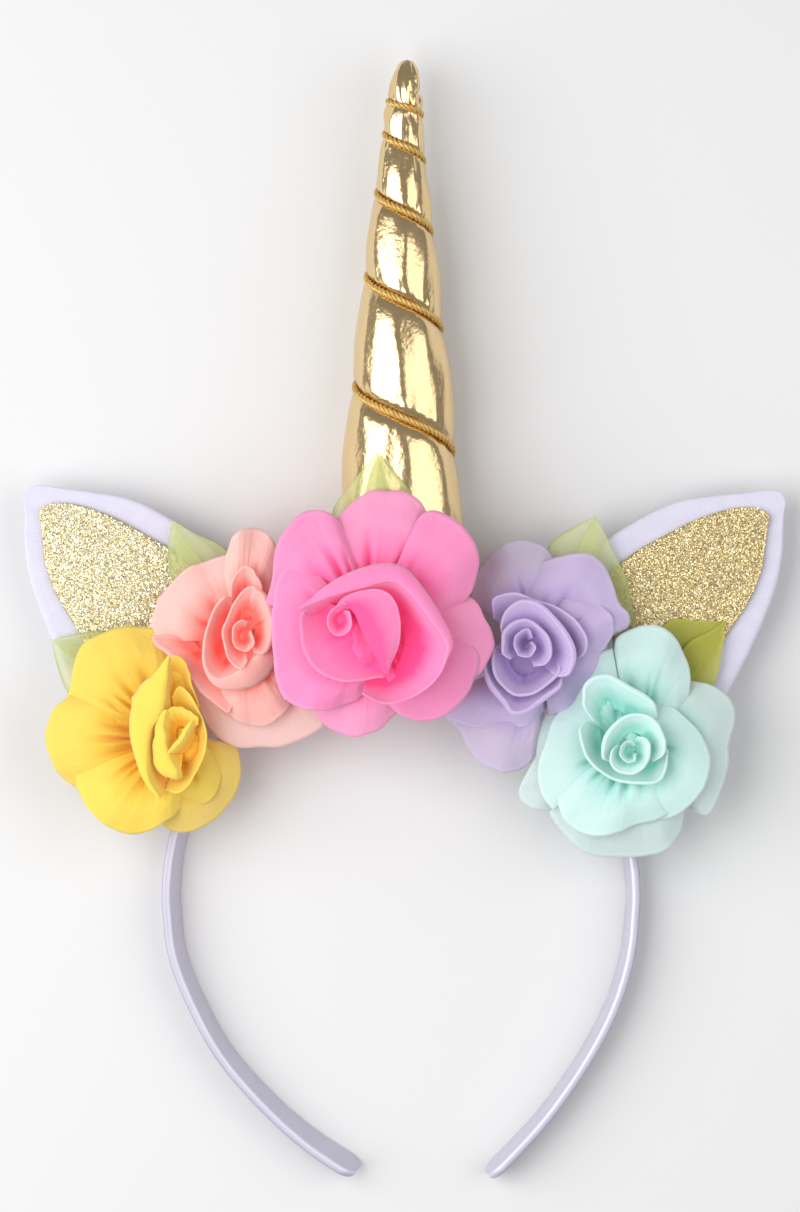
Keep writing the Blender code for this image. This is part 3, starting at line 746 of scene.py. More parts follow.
def make_horn():
    """Foil cloth stuffed tight between the cord's turns, puckered beside the groove."""
    per_turn = HORN_ROWS_PER_TURN
    first, last = HORN_HALF_TURNS
    rows = int((last - first) / 2 * per_turn)
    points = []
    for i in range(rows + 1):
        turn, k = divmod(i, per_turn)
        share = k / per_turn
        swell = math.sin(math.pi * share) ** HORN_SWELL_SHAPE
        from_cord = min(share, 1 - share)
        beside = math.exp(-((from_cord / PUCKER_REACH) ** 2))
        closest = math.exp(-((from_cord / PINCH_REACH) ** 2))
        for j in range(HORN_COLUMNS):
            half_turns = first + 2 * (turn + share + j / HORN_COLUMNS)
            side = math.pi * (1 - first) - 2 * math.pi * j / HORN_COLUMNS
            wide = DENT_SPREAD["round"]
            place = Vector((math.cos(side) * wide, math.sin(side) * wide, half_turns * DENT_SPREAD["along"]))
            dent = noise.noise(place * DENT_SPREAD["all"]) * (1 - beside)
            way = (side * PUCKER_PLEATS["round"], turn * PUCKER_PLEATS["turn"])
            pleat = noise.noise(Vector((*way, share * PUCKER_PLEATS["along"])))
            lift = PUCKER * beside * pleat * 2 + DENT * dent - PINCH * closest
            points.append(horn_point(half_turns, side, swell, lift))

    def at(i, j):
        return (i + per_turn) * HORN_COLUMNS if j == HORN_COLUMNS else i * HORN_COLUMNS + j

    faces = []
    for i in range(rows):
        for j in range(HORN_COLUMNS):
            if j == HORN_COLUMNS - 1 and i + 1 + per_turn > rows:
                continue
            faces.append((at(i, j), at(i, j + 1), at(i + 1, j + 1), at(i + 1, j)))
    tip_edge = [at(0, j) for j in range(HORN_COLUMNS)] + [at(i, 0) for i in range(per_turn, 0, -1)]
    base_edge = [at(rows, j) for j in range(HORN_COLUMNS)]
    base_edge += [at(i, HORN_COLUMNS - 1) for i in range(rows - 1, rows - per_turn, -1)]
    base_edge.append(at(rows - per_turn, HORN_COLUMNS))
    tip_x = HORN_BASE[0] + HORN_TIP_LEAN
    for ring in range(1, TIP_RINGS + 1):
        share = ring / TIP_RINGS
        start = len(points)
        for k in tip_edge[:HORN_COLUMNS]:
            x, y, z = points[k]
            from_tip = (HORN_BOX[1].y - y) * (1 - share) ** TIP_SHAPE
            along = 1 - from_tip / HORN_LENGTH
            side = math.atan2(z - HORN_AXIS_HEIGHT, x - tip_x)
            wide = TIP_CRUMPLE["round"]
            place = Vector((wide * math.cos(side), wide * math.sin(side), TIP_CRUMPLE["along"] * share))
            crumple = 1 + TIP_CRUMPLE["size"] * noise.noise(place)
            radius = HORN_RADIUS * smooth_read(HORN_SECTIONS, "along", "width", along)
            radius = radius * crumple * (1 if ring < TIP_RINGS else TIP_END_WIDTH)
            points.append(
                (
                    HORN_BASE[0] + HORN_TIP_LEAN * along**HORN_LEAN_SHAPE + radius * math.cos(side),
                    HORN_BOX[1].y - from_tip - TIP_INSET,
                    HORN_AXIS_HEIGHT + radius * math.sin(side),
                )
            )
        ring_points = list(range(start, start + HORN_COLUMNS))
        if ring == 1:
            above = ring_points + [start] * (len(tip_edge) - HORN_COLUMNS)
            pairs = list(zip(tip_edge, above))
        else:
            pairs = list(zip(tip_edge, ring_points))
        for (a, b), (c, d) in zip(pairs, pairs[1:] + pairs[:1]):
            faces.append((a, c, b) if b == d else (a, c, d, b))
        tip_edge = ring_points
    points.append((tip_x, HORN_BOX[1].y, HORN_AXIS_HEIGHT))
    points.append((HORN_BASE[0], HORN_BASE[1] + BASE_TUCK, HORN_AXIS_HEIGHT))
    for edge, middle in ((tip_edge, len(points) - 2), (base_edge, len(points) - 1)):
        for a, b in zip(edge, edge[1:] + edge[:1]):
            if a != b:
                faces.append((a, b, middle))
    piece = add_piece("foil_horn", points, faces, FOIL, ["horn"], closed=True)


def across_path(path):
    """Two directions square to a path at each of its points."""
    tangent = unit(np.gradient(path, axis=0))
    guide = unit(np.cross(tangent, (0.0, 1.0, 0.0)))
    return guide, np.cross(tangent, guide)


def sweep_tube(path, radius, sides):
    """Rings of points round a path, and their faces. The ends are closed."""
    guide, other = across_path(path)
    angles = np.linspace(0, 2 * math.pi, sides, endpoint=False)
    ring = guide[:, None] * np.cos(angles)[None, :, None] + other[:, None] * np.sin(angles)[None, :, None]
    points = (path[:, None] + radius * ring).reshape(-1, 3)
    return points, grid_faces(len(path), sides, ring=True) + end_faces(sides, len(points))


def make_cord():
    """Three strands twisted into one cord, wound round the horn in its groove."""
    radius = CORD_DIAMETER / 2
    coarse = []
    for half_turns in np.linspace(*CORD_HALF_TURNS, CORD_TURN_POINTS):
        side = math.pi * (1 - half_turns)
        coarse.append(horn_point(half_turns, side, 0.0, CORD_LIFT * radius))
    coarse = np.array(coarse)
    run = np.concatenate([[0.0], np.cumsum(np.linalg.norm(np.diff(coarse, axis=0), axis=1))])
    wanted = np.linspace(0, run[-1], int(run[-1] / CORD_STEP))
    line = np.stack([np.interp(wanted, run, coarse[:, k]) for k in range(3)], 1)
    guide, other = across_path(line)
    points, faces = [], []
    for strand in range(CORD_STRANDS):
        turn = 2 * math.pi * (wanted / CORD_TWIST + strand / CORD_STRANDS)
        off = guide * np.cos(turn)[:, None] + other * np.sin(turn)[:, None]
        middle = line + off * radius * STRAND_OFF_CENTRE
        tube, quads = sweep_tube(middle, radius * STRAND_RADIUS, STRAND_SIDES)
        faces += [[k + len(points) for k in face] for face in quads]
        points += list(tube)
    add_piece("twisted_cord", points, faces, CORD, ["horn_cord"], closed=True)


# Ears

EAR_LENGTH = 0.0802
EAR_WIDTH = 0.055
EAR_ANGLES = {True: 54.0, False: 52.3}
EAR_ARCH_ANGLE = 38.5
EAR_OFFSET = 0.0013
EAR_ROW_SPREAD = 1.7
PANEL_ROWS = 70
PANEL_COLUMNS = 44
PANEL_EDGE = {"along": 60, "across": 40, "reach": 1.6}
EAR_OUTLINE = (
    {"along": -0.02, "upper": 0.43, "lower": 0.41},
    {"along": 0.10, "upper": 0.48, "lower": 0.42},
    {"along": 0.30, "upper": 0.56, "lower": 0.39},
    {"along": 0.50, "upper": 0.535, "lower": 0.345},
    {"along": 0.66, "upper": 0.455, "lower": 0.290},
    {"along": 0.77, "upper": 0.370, "lower": 0.235},
    {"along": 0.86, "upper": 0.250, "lower": 0.165},
    {"along": 0.94, "upper": 0.125, "lower": 0.080},
    {"along": 1.00, "upper": 0.040, "lower": 0.030},
)
GLITTER_OUTLINE = (
    {"along": 0.25, "upper": 0.40, "lower": 0.24},
    {"along": 0.40, "upper": 0.42, "lower": 0.23},
    {"along": 0.55, "upper": 0.385, "lower": 0.20},
    {"along": 0.665, "upper": 0.315, "lower": 0.185},
    {"along": 0.77, "upper": 0.240, "lower": 0.140},
    {"along": 0.865, "upper": 0.140, "lower": 0.060},
    {"along": 0.92, "upper": 0.045, "lower": 0.020},
)
TIP_ROUND = 0.024
FLAKES_PER_EAR = 34000
FLAKE_SIZE = 0.00017
FLAKE_TILT = 0.36
FLAKE_CORNERS = 6
FLAKE_FIELD = {"along": 0.915, "low": -0.245, "width": 0.67, "edge": 0.004}
FLAKE_LIFT = {"least": 0.00005, "spread": 0.00018}
FLAKE_SIZES = {"least": 0.75, "spread": 0.6}
FLAKE_DIMMEST = 0.85
FLAKE_SHADE_SHARES = (0.55, 0.25, 0.20)
PANEL_GOLD = (0.72, 0.58, 0.28)
# The left ear's flakes are painted paler and the right ear's darker: painted light and shade on one glitter.
# The three shades on each side and their dimming are random tone.
FLAKE_SHADES_LIT_LEFT_SHADED_RIGHT = {
    "left": ((0.96, 0.90, 0.64), (0.82, 0.73, 0.42), (0.99, 0.96, 0.80)),
    "right": ((0.88, 0.71, 0.38), (0.68, 0.51, 0.22), (0.96, 0.88, 0.62)),
}


def ear_place(along, across, mirrored):
    """A point of an ear, from its shares of the ear's length and width."""
    sign = -1 if mirrored else 1
    x0, y0 = arch_point(EAR_ARCH_ANGLE, EAR_OFFSET)
    x0 = 2 * BAND_CENTRE[0] - x0 if mirrored else x0
    angle = math.radians(EAR_ANGLES[mirrored])
    a, b = along * EAR_LENGTH, across * EAR_WIDTH
    x = a * np.cos(angle) - b * np.sin(angle)
    y = a * np.sin(angle) + b * np.cos(angle)
    return x0 + sign * x, y0 + y


def panel_shape(outline, mirrored, rows, columns):
    """A grid of places over an ear-shaped panel."""
    lows, highs = outline[0]["along"], outline[-1]["along"]
    along = highs - (highs - lows) * (1 - np.linspace(0, 1, rows)) ** EAR_ROW_SPREAD
    rounded = np.sqrt(1 - np.clip(1 - (highs - along) / TIP_ROUND, 0, 1) ** 2)
    upper = rounded * np.array([smooth_read(outline, "along", "upper", a) for a in along])
    lower = rounded * np.array([smooth_read(outline, "along", "lower", a) for a in along])
    share = np.linspace(0, 1, columns)
    across = -lower[:, None] + (upper + lower)[:, None] * share[None, :]
    return ear_place(along[:, None] + 0 * across, across, mirrored)


def make_panel(name, outline, node, mirrored, finish, rounding):
    """A cut panel with rounded edges, as thick as its CAD node."""
    low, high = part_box(node)
    rows, columns = PANEL_ROWS, PANEL_COLUMNS
    x, y = panel_shape(outline, mirrored, rows, columns)
    i = np.minimum(np.arange(rows), np.arange(rows)[::-1])[:, None] / rows * PANEL_EDGE["along"]
    j = np.minimum(np.arange(columns), np.arange(columns)[::-1])[None, :] / columns * PANEL_EDGE["across"]
    edge = np.clip(np.minimum(i, j) / PANEL_EDGE["reach"], 0, 1)
    bulge = np.sqrt(1 - (1 - edge) ** 2)
    middle, half = (low.z + high.z) / 2, (high.z - low.z) / 2
    lift = half * (1 - rounding + rounding * bulge)
    top = np.stack([x, y, middle + lift], -1).reshape(-1, 3)
    bottom = np.stack([x, y, middle - lift], -1).reshape(-1, 3)
    count = len(top)
    faces = grid_faces(rows, columns)
    faces += [face[::-1] for face in grid_faces(rows, columns, count)]
    border = list(range(columns))
    border += [r * columns + columns - 1 for r in range(1, rows)]
    border += [(rows - 1) * columns + k for k in range(columns - 2, -1, -1)]
    border += [r * columns for r in range(rows - 2, 0, -1)]
    for a, b in zip(border, border[1:] + border[:1]):
        faces.append([a, b, b + count, a + count])
    points = np.concatenate([top, bottom])
    paint = ("flake", np.tile(PANEL_GOLD, (len(points), 1))) if finish is GLITTER else None
    return add_piece(name, points, faces, finish, [node], paint, closed=True)


def make_flakes(side, mirrored):
    """Loose gold flakes glued all over the glitter panel, each lying a little askew."""
    rng = np.random.default_rng(11 if mirrored else 12)
    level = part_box("ear_glitter_" + side)[1].z + FLAKE_LIFT["least"]
    start = GLITTER_OUTLINE[0]["along"]
    along = start + rng.random(FLAKES_PER_EAR) * (FLAKE_FIELD["along"] - start)
    table = np.linspace(along.min(), along.max(), 60)
    upper = np.interp(along, table, [smooth_read(GLITTER_OUTLINE, "along", "upper", a) for a in table])
    lower = np.interp(along, table, [smooth_read(GLITTER_OUTLINE, "along", "lower", a) for a in table])
    across = FLAKE_FIELD["low"] + rng.random(FLAKES_PER_EAR) * FLAKE_FIELD["width"]
    keep = (across < upper - FLAKE_FIELD["edge"]) & (across > -lower + FLAKE_FIELD["edge"])
    x, y = ear_place(along[keep], across[keep], mirrored)
    count = len(x)
    centre = np.stack([x, y, level + FLAKE_LIFT["spread"] * rng.random(count)], 1)
    tilt = rng.normal(0, FLAKE_TILT, (count, 2))
    normal = unit(np.stack([tilt[:, 0], tilt[:, 1], np.ones(count)], 1))
    turn = rng.random(count) * 2 * math.pi
    first = np.stack([np.cos(turn), np.sin(turn), np.zeros(count)], 1)
    first = unit(first - normal * (first * normal).sum(1)[:, None])
    second = np.cross(normal, first)
    size = FLAKE_SIZE * (FLAKE_SIZES["least"] + FLAKE_SIZES["spread"] * rng.random(count))
    corners = []
    for angle in np.arange(FLAKE_CORNERS) * 2 * math.pi / FLAKE_CORNERS:
        corners.append(centre + size[:, None] * (first * math.cos(angle) + second * math.sin(angle)))
    points = np.stack(corners, 1).reshape(-1, 3)
    faces = np.arange(count * FLAKE_CORNERS).reshape(count, FLAKE_CORNERS)
    shades = np.array(FLAKE_SHADES_LIT_LEFT_SHADED_RIGHT[side])[rng.choice(3, count, p=FLAKE_SHADE_SHARES)]
    shades = shades * (FLAKE_DIMMEST + (1 - FLAKE_DIMMEST) * rng.random((count, 1)))
    paint = ("flake", np.repeat(shades, FLAKE_CORNERS, axis=0))
    add_piece("glitter_flakes_" + side, points, faces, GLITTER, (), paint)


def make_ears():
    for side, mirrored in (("left", True), ("right", False)):
        nodes = "ear_felt_" + side, "ear_glitter_" + side
        felt = make_panel("felt_ear_" + side, EAR_OUTLINE, nodes[0], mirrored, FELT, 0.55)
        panel = make_panel(
            "glitter_panel_" + side, GLITTER_OUTLINE, nodes[1], mirrored, GLITTER, 0.4
        )
        make_flakes(side, mirrored)


# Roses

CHIFFON_THICKNESS = 0.00022
CLOTH_CRINKLE = {"height": 0.25, "scale": 140.0}
PETAL_ALONG = 64
PETAL_ACROSS = 26
RIM_WANDER = {"size": 0.00035, "along": 9, "apart": 7.0}
STREAKS = {"size": 0.00022, "wide": 26, "fine": 60, "fine_share": 0.6, "fade": 0.75}
HEART_STREAKS = 0.5
# Heart petals carry their painted shade further towards the rim.
HEART_PAINTED_SHADE_SPREAD = 1.5
HEART_FOLDS = 0.45
BUD_DEPTH = 0.5
TUCK = 0.35
TUCK_REACH = 0.10
SINGLE_FADE = {"start": 1.4, "slope": 1.6}

# Folds, as shares of a petal's length and height. Depths are in millimetres.
FOLD = {"margin": 0.08, "shift": 0.3, "width": (0.024, 0.055), "depth": (0.9, 2.1), "reach": (0.50, 0.80)}
FOLD_FADE = 0.8
FOLD_RIDGE = {"height": 0.35, "away": 2.2}
# Strength of the painted shade in fold valleys, on lobes and on heart petals.
CREASE_PAINTED_SHADE = {"lobe": 0.55, "heart": 0.8}
RUFFLE = {"height": 0.75, "waves": (1.6, 2.6), "phases": 6.28}

# Turned edges, in pixels of the photograph: wide ones lie over further than they show.
TURNED_ROWS = 6
TURNED = {"least": 0.3, "wide": 6, "narrow_share": 0.65, "hidden": 2.1, "smooth": 4}
TURNED_DROP = {"curve": 0.55, "lip": 0.10}
# The turned edge's depth mark keeps the painted rim highlight to its outer rows and the painted shade off
# it.
TURNED_DEEP = 0.22

# The gathered cloth under each ring of petals. Heights are in millimetres.
BASES = {
    "skirt": {"share": 0.44, "low": 0.3, "high": 3.6},
    "whorl": {"share": 0.66, "low": 5.8, "high": 6.2},
    "bud": {"share": 0.72, "low": 12.4, "high": 8.2},
}
BASE_RINGS = 16
BASE_SPOKES = 49
BASE_LOOK = 0.35
BASE_FLAT = 0.55
BASE_RIPPLE = {"height": 0.2, "waves": 14}
# The base is painted in deep shade.
BASE_PAINTED_SHADE = 0.85
LAYERS = {
    "rear": {"heights": (3.0, 6.0, 5.4, 2.6), "single": 1.0, "root": 0.25, "droop": 1.2},
    "outer": {"heights": (4.6, 8.2, 7.8, 5.2), "single": 0.3, "root": 0.22, "droop": 2.2},
    "inner": {"heights": (6.0, 9.6, 9.8, 8.0), "single": 0.1, "root": 0.22, "droop": 3.6},
}

# A petal's rim is read from the photograph. turned: how far its edge is turned outwards, in pixels.
# heights: from its root to its rim, in millimetres above the rose's underside.
ROSES = {}
ROSES["pink"] = {
    "toward": (370, 632),
    "skirt": (
        {
            "layer": "rear",
            "rim": ((330, 530), (342, 514), (365, 495), (388, 491), (413, 497), (426, 512), (430, 530)),
        },
        {"layer": "rear", "rim": ((448, 606), (470, 598), (485, 619), (493, 644), (480, 672), (458, 684))},
        {"layer": "rear", "rim": ((402, 702), (394, 714), (374, 731), (351, 735), (326, 724), (312, 704))},
        {
            "layer": "outer", "gathers": 4,
            "rim": ((268, 604), (273, 578), (278, 548), (294, 521), (313, 511), (332, 515), (350, 536)),
        },
        {
            "layer": "outer", "gathers": 5,
            "rim": (
                (408, 540), (420, 517), (436, 512), (460, 525), (476, 548), (478, 568), (469, 594),
                (450, 614),
            ),
        },
        {
            "layer": "outer", "gathers": 4,
            "rim": ((470, 640), (478, 660), (468, 691), (443, 715), (418, 720), (396, 711), (380, 692)),
        },
        {
            "layer": "inner", "gathers": 3,
            "rim": ((376, 684), (352, 701), (326, 709), (300, 706), (281, 690), (275, 660)),
        },
        {
            "layer": "inner", "gathers": 2,
            "rim": ((286, 700), (277, 672), (274, 640), (274, 606), (282, 574), (304, 556)),
        },
    ),
    "whorl": (
        {
            "heights": (8.0, 9.4, 12.4, 16.0), "gathers": 13, "tuck": 0.0,
            "rim": (
                (301, 608), (328, 597), (361, 588), (393, 581), (413, 596), (433, 622), (446, 642),
                (446, 656), (440, 671), (428, 685), (411, 696), (386, 702), (363, 692),
            ),
            "turned": (1, 12, 20, 20, 15, 12, 8, 3, 1, 1, 1, 1, 1),
            "root": (
                (322, 628), (330, 616), (350, 604), (378, 600), (392, 606), (400, 620), (404, 634),
                (404, 644), (402, 652), (399, 660), (394, 668), (384, 676), (366, 678),
            ),
        },
        {
            "turned": 1.5, "heights": (12.5, 10.2, 11.0, 14.0), "gathers": 2,
            "rim": (
                (304, 606), (302, 622), (304, 640), (311, 660), (324, 673), (341, 679), (358, 679),
                (380, 676),
            ),
            "root": ((328, 602), (344, 610), (360, 622), (370, 635), (376, 648), (383, 660), (390, 674)),
        },
    ),
    "bud": (
        {
            "turned": 1.5, "heights": (18.0, 18.4, 17.6, 15.6), "gathers": 0,
            "rim": (
                (334, 612), (346, 598), (366, 591), (384, 592), (395, 604), (399, 622), (398, 642),
                (388, 674),
            ),
            "root": (
                (340, 612), (348, 608), (354, 612), (359, 622), (364, 634), (370, 646), (377, 658),
                (386, 673),
            ),
        },
        {
            "turned": 1.0, "toward": (341, 619), "root": 0.3, "heights": (9.0, 12.0, 15.0, 17.6),
            "gathers": 0,
            "rim": (
                (353, 604), (342, 603), (332, 612), (329, 623), (335, 633), (345, 634), (351, 626),
                (350, 614), (346, 608),
            ),
        },
    ),
}
ROSES["yellow"] = {
    "toward": (172, 738),
    "skirt": (
        {
            "layer": "rear",
            "rim": (
                (212, 738), (230, 743), (240, 755), (241, 773), (235, 794), (221, 814), (205, 826),
                (187, 832), (168, 828), (152, 815),
            ),
        },
        {
            "layer": "outer", "gathers": 5,
            "rim": (
                (66, 706), (71, 688), (74, 667), (86, 643), (109, 631), (134, 626), (156, 630), (178, 648),
            ),
        },
        {
            "layer": "outer", "gathers": 5,
            "rim": ((96, 682), (71, 695), (55, 709), (47, 730), (49, 750), (58, 770), (70, 783), (92, 792)),
        },
        {
            "layer": "inner", "gathers": 5,
            "rim": (
                (76, 770), (80, 790), (90, 808), (109, 825), (133, 833), (154, 828), (171, 817), (186, 802),
            ),
        },
        {
            "layer": "outer", "gathers": 2,
            "rim": ((200, 736), (212, 747), (220, 757), (222, 776), (212, 799), (194, 809), (176, 812)),
        },
    ),
    "whorl": (
        {
            "tuck": 0.0, "heights": (8.0, 10.0, 13.5, 16.5), "gathers": 0,
            "rim": (
                (171, 655), (169, 672), (168, 690), (164, 711), (152, 729), (149, 752), (150, 776),
                (162, 797),
            ),
            "turned": (1, 14, 29, 36, 25, 15, 7, 2),
            "root": (
                (176, 690), (176, 700), (176, 710), (174, 724), (168, 738), (166, 754), (168, 768),
                (174, 780),
            ),
        },
        {
            "turned": 1.5, "toward": (180, 745), "root": 0.42, "heights": (8.5, 9.5, 12.0, 15.0),
            "gathers": 4,
            "rim": (
                (172, 686), (184, 687), (193, 698), (202, 715), (207, 730), (207, 746), (199, 767),
                (186, 787), (164, 800),
            ),
        },
        {
            "turned": 1.5, "toward": (176, 712), "root": 0.55, "heights": (7.5, 9.0, 11.0, 13.0),
            "gathers": 1, "rim": ((172, 655), (182, 658), (189, 669), (193, 686), (203, 714)),
        },
        {
            "turned": 0.0, "toward": (178, 706), "root": 0.05, "heights": (8.8, 8.9, 9.2, 9.6),
            "gathers": 1, "rim": ((166, 706), (168, 682), (174, 666), (184, 670), (191, 690), (198, 712)),
        },
    ),
    "bud": (
        {
            "toward": (186, 740), "root": 0.4, "heights": (9.5, 11.0, 14.0, 17.2), "gathers": 0,
            "rim": ((169, 704), (166, 722), (168, 742), (173, 759), (182, 774)),
            "turned": (2, 9, 15, 19, 12),
        },
        {
            "turned": 1.0, "toward": (186, 738), "root": 0.4, "heights": (10.0, 12.0, 14.5, 16.6),
            "gathers": 0, "rim": ((168, 712), (176, 706), (186, 708), (195, 713), (203, 719)),
        },
        {
            "toward": (196, 752), "root": 0.45, "heights": (10.5, 12.5, 15.5, 17.8), "gathers": 0,
            "rim": ((196, 716), (190, 728), (183, 740), (174, 749), (170, 752)), "turned": (1, 5, 6, 4, 1),
        },
    ),
}
ROSES["salmon"] = {
    "toward": (240, 640),
    "skirt": (
        {
            "layer": "rear", "gathers": 1,
            "rim": ((258, 548), (276, 560), (290, 584), (297, 612), (298, 650)),
        },
        {
            "layer": "outer", "gathers": 1, "droop": 1.0, "heights": (5.6, 9.2, 9.6, 8.0),
            "rim": ((225, 572), (229, 547), (239, 532), (253, 528), (267, 533), (277, 547), (284, 572)),
        },
        {
            "layer": "rear", "gathers": 3,
            "rim": (
                (186, 676), (198, 705), (214, 733), (236, 746), (261, 747), (286, 745), (310, 736),
                (326, 722), (330, 700),
            ),
        },
        {
            "layer": "outer", "gathers": 3,
            "rim": (
                (144, 642), (152, 622), (160, 598), (186, 570), (209, 561), (232, 555), (258, 560),
                (276, 575),
            ),
        },
        {
            "layer": "inner", "gathers": 3,
            "rim": (
                (214, 690), (220, 708), (233, 717), (248, 724), (266, 726), (284, 714), (294, 698),
                (296, 676),
            ),
        },
    ),
    "whorl": (
        {
            "toward": (228, 650), "root": 0.4, "heights": (7.0, 7.6, 8.6, 10.4), "gathers": 2,
            "rim": ((150, 630), (158, 642), (171, 653), (190, 673), (206, 693), (221, 707), (236, 718)),
            "turned": (1, 4, 4, 4, 3, 2, 1),
        },
        {
            "toward": (240, 636), "root": 0.42, "heights": (8.0, 9.0, 11.5, 14.4), "gathers": 4,
            "rim": (
                (232, 590), (225, 598), (215, 612), (208, 634), (206, 656), (210, 672), (222, 679),
                (237, 672), (250, 662), (262, 652), (271, 640),
            ),
            "turned": (2, 2, 2, 2, 3, 5, 12, 20, 24, 20, 10),
        },
        {
            "turned": 2, "toward": (246, 620), "root": 0.4, "heights": (8.0, 9.4, 11.8, 13.6), "gathers": 1,
            "rim": ((230, 592), (238, 574), (248, 567), (257, 576), (264, 592), (272, 610)),
        },
    ),
    "bud": (
        {
            "turned": 1.5, "toward": (244, 634), "root": 0.35, "heights": (9.0, 10.5, 13.5, 16.4),
            "gathers": 1,
            "rim": (
                (262, 592), (252, 587), (240, 598), (229, 618), (225, 636), (229, 654), (238, 666),
                (250, 668),
            ),
        },
        {
            "toward": (246, 632), "root": 0.4, "heights": (9.5, 11.0, 14.0, 16.6), "gathers": 1,
            "rim": ((254, 590), (263, 595), (270, 612), (272, 628), (268, 646), (258, 658)),
            "turned": (1, 6, 9, 8, 5, 1),
        },
        {
            "turned": 1.0, "toward": (245, 636), "root": 0.35, "heights": (9.5, 12.0, 15.0, 17.6),
            "gathers": 0,
            "rim": ((250, 618), (240, 622), (234, 634), (237, 646), (247, 650), (255, 643), (254, 630)),
        },
    ),
}
ROSES["lavender"] = {
    "toward": (538, 652),
    "skirt": (
        {
            "layer": "rear", "gathers": 1,
            "rim": ((470, 600), (476, 576), (488, 558), (503, 545), (521, 540), (543, 546), (556, 564)),
        },
        {
            "layer": "rear", "gathers": 1,
            "rim": (
                (448, 720), (459, 730), (468, 748), (480, 762), (501, 772), (520, 769), (532, 757),
                (540, 738),
            ),
        },
        {
            "layer": "outer", "gathers": 4,
            "rim": (
                (520, 592), (532, 572), (548, 560), (568, 555), (588, 554), (602, 563), (611, 581),
                (618, 602), (628, 614), (626, 628), (604, 640),
            ),
        },
        {
            "layer": "outer", "gathers": 3,
            "rim": ((452, 690), (444, 714), (460, 724), (488, 729), (512, 728), (532, 724), (546, 706)),
        },
        {
            "layer": "inner", "gathers": 1,
            "rim": ((548, 604), (566, 600), (588, 600), (604, 608), (612, 622), (610, 638), (596, 656)),
        },
        {
            "layer": "outer", "gathers": 2,
            "rim": ((596, 640), (606, 646), (600, 668), (588, 690), (570, 706), (548, 716)),
        },
    ),
    "whorl": (
        {
            "turned": 1.5, "toward": (536, 652), "root": 0.5, "heights": (7.6, 9.0, 11.0, 13.2),
            "gathers": 2,
            "rim": (
                (484, 612), (496, 597), (513, 594), (533, 600), (556, 608), (574, 621), (584, 636),
                (584, 650), (576, 664),
            ),
        },
        {
            "toward": (526, 660), "root": 0.5, "heights": (7.8, 8.6, 10.8, 13.6), "gathers": 3,
            "rim": (
                (497, 650), (487, 660), (485, 670), (491, 684), (505, 701), (513, 711), (526, 709),
                (540, 698), (555, 688), (568, 674),
            ),
            "turned": (1, 3, 4, 6, 6, 4, 4, 6, 4, 1),
        },
        {
            "toward": (528, 654), "root": 0.55, "heights": (8.4, 9.6, 12.0, 14.8), "gathers": 1,
            "rim": (
                (496, 640), (493, 654), (494, 670), (502, 684), (514, 693), (528, 693), (544, 684),
                (556, 672), (562, 658),
            ),
            "turned": (1, 2, 3, 3, 3, 3, 3, 3, 1),
        },
    ),
    "bud": (
        {
            "toward": (528, 652), "root": 0.45, "heights": (8.6, 10.2, 12.8, 15.6), "gathers": 1,
            "rim": (
                (500, 640), (501, 623), (509, 609), (521, 601), (538, 606), (553, 621), (566, 639),
                (571, 654), (568, 670), (560, 682),
            ),
            "turned": (1, 2, 3, 3, 4, 5, 6, 6, 4, 1),
        },
        {
            "toward": (525, 646), "root": 0.45, "heights": (9.4, 11.4, 14.2, 17.0), "gathers": 0,
            "rim": (
                (506, 662), (502, 648), (504, 633), (513, 624), (526, 621), (539, 629), (548, 643),
                (546, 660), (534, 670),
            ),
            "turned": (1, 3, 4, 4, 3, 3, 3, 2, 1),
        },
        {
            "turned": 1.0, "toward": (524, 643), "root": 0.4, "heights": (9.0, 12.0, 15.5, 18.0),
            "gathers": 0,
            "rim": (
                (533, 636), (527, 630), (518, 632), (513, 642), (517, 653), (527, 656), (534, 649),
                (532, 641),
            ),
        },
    ),
}
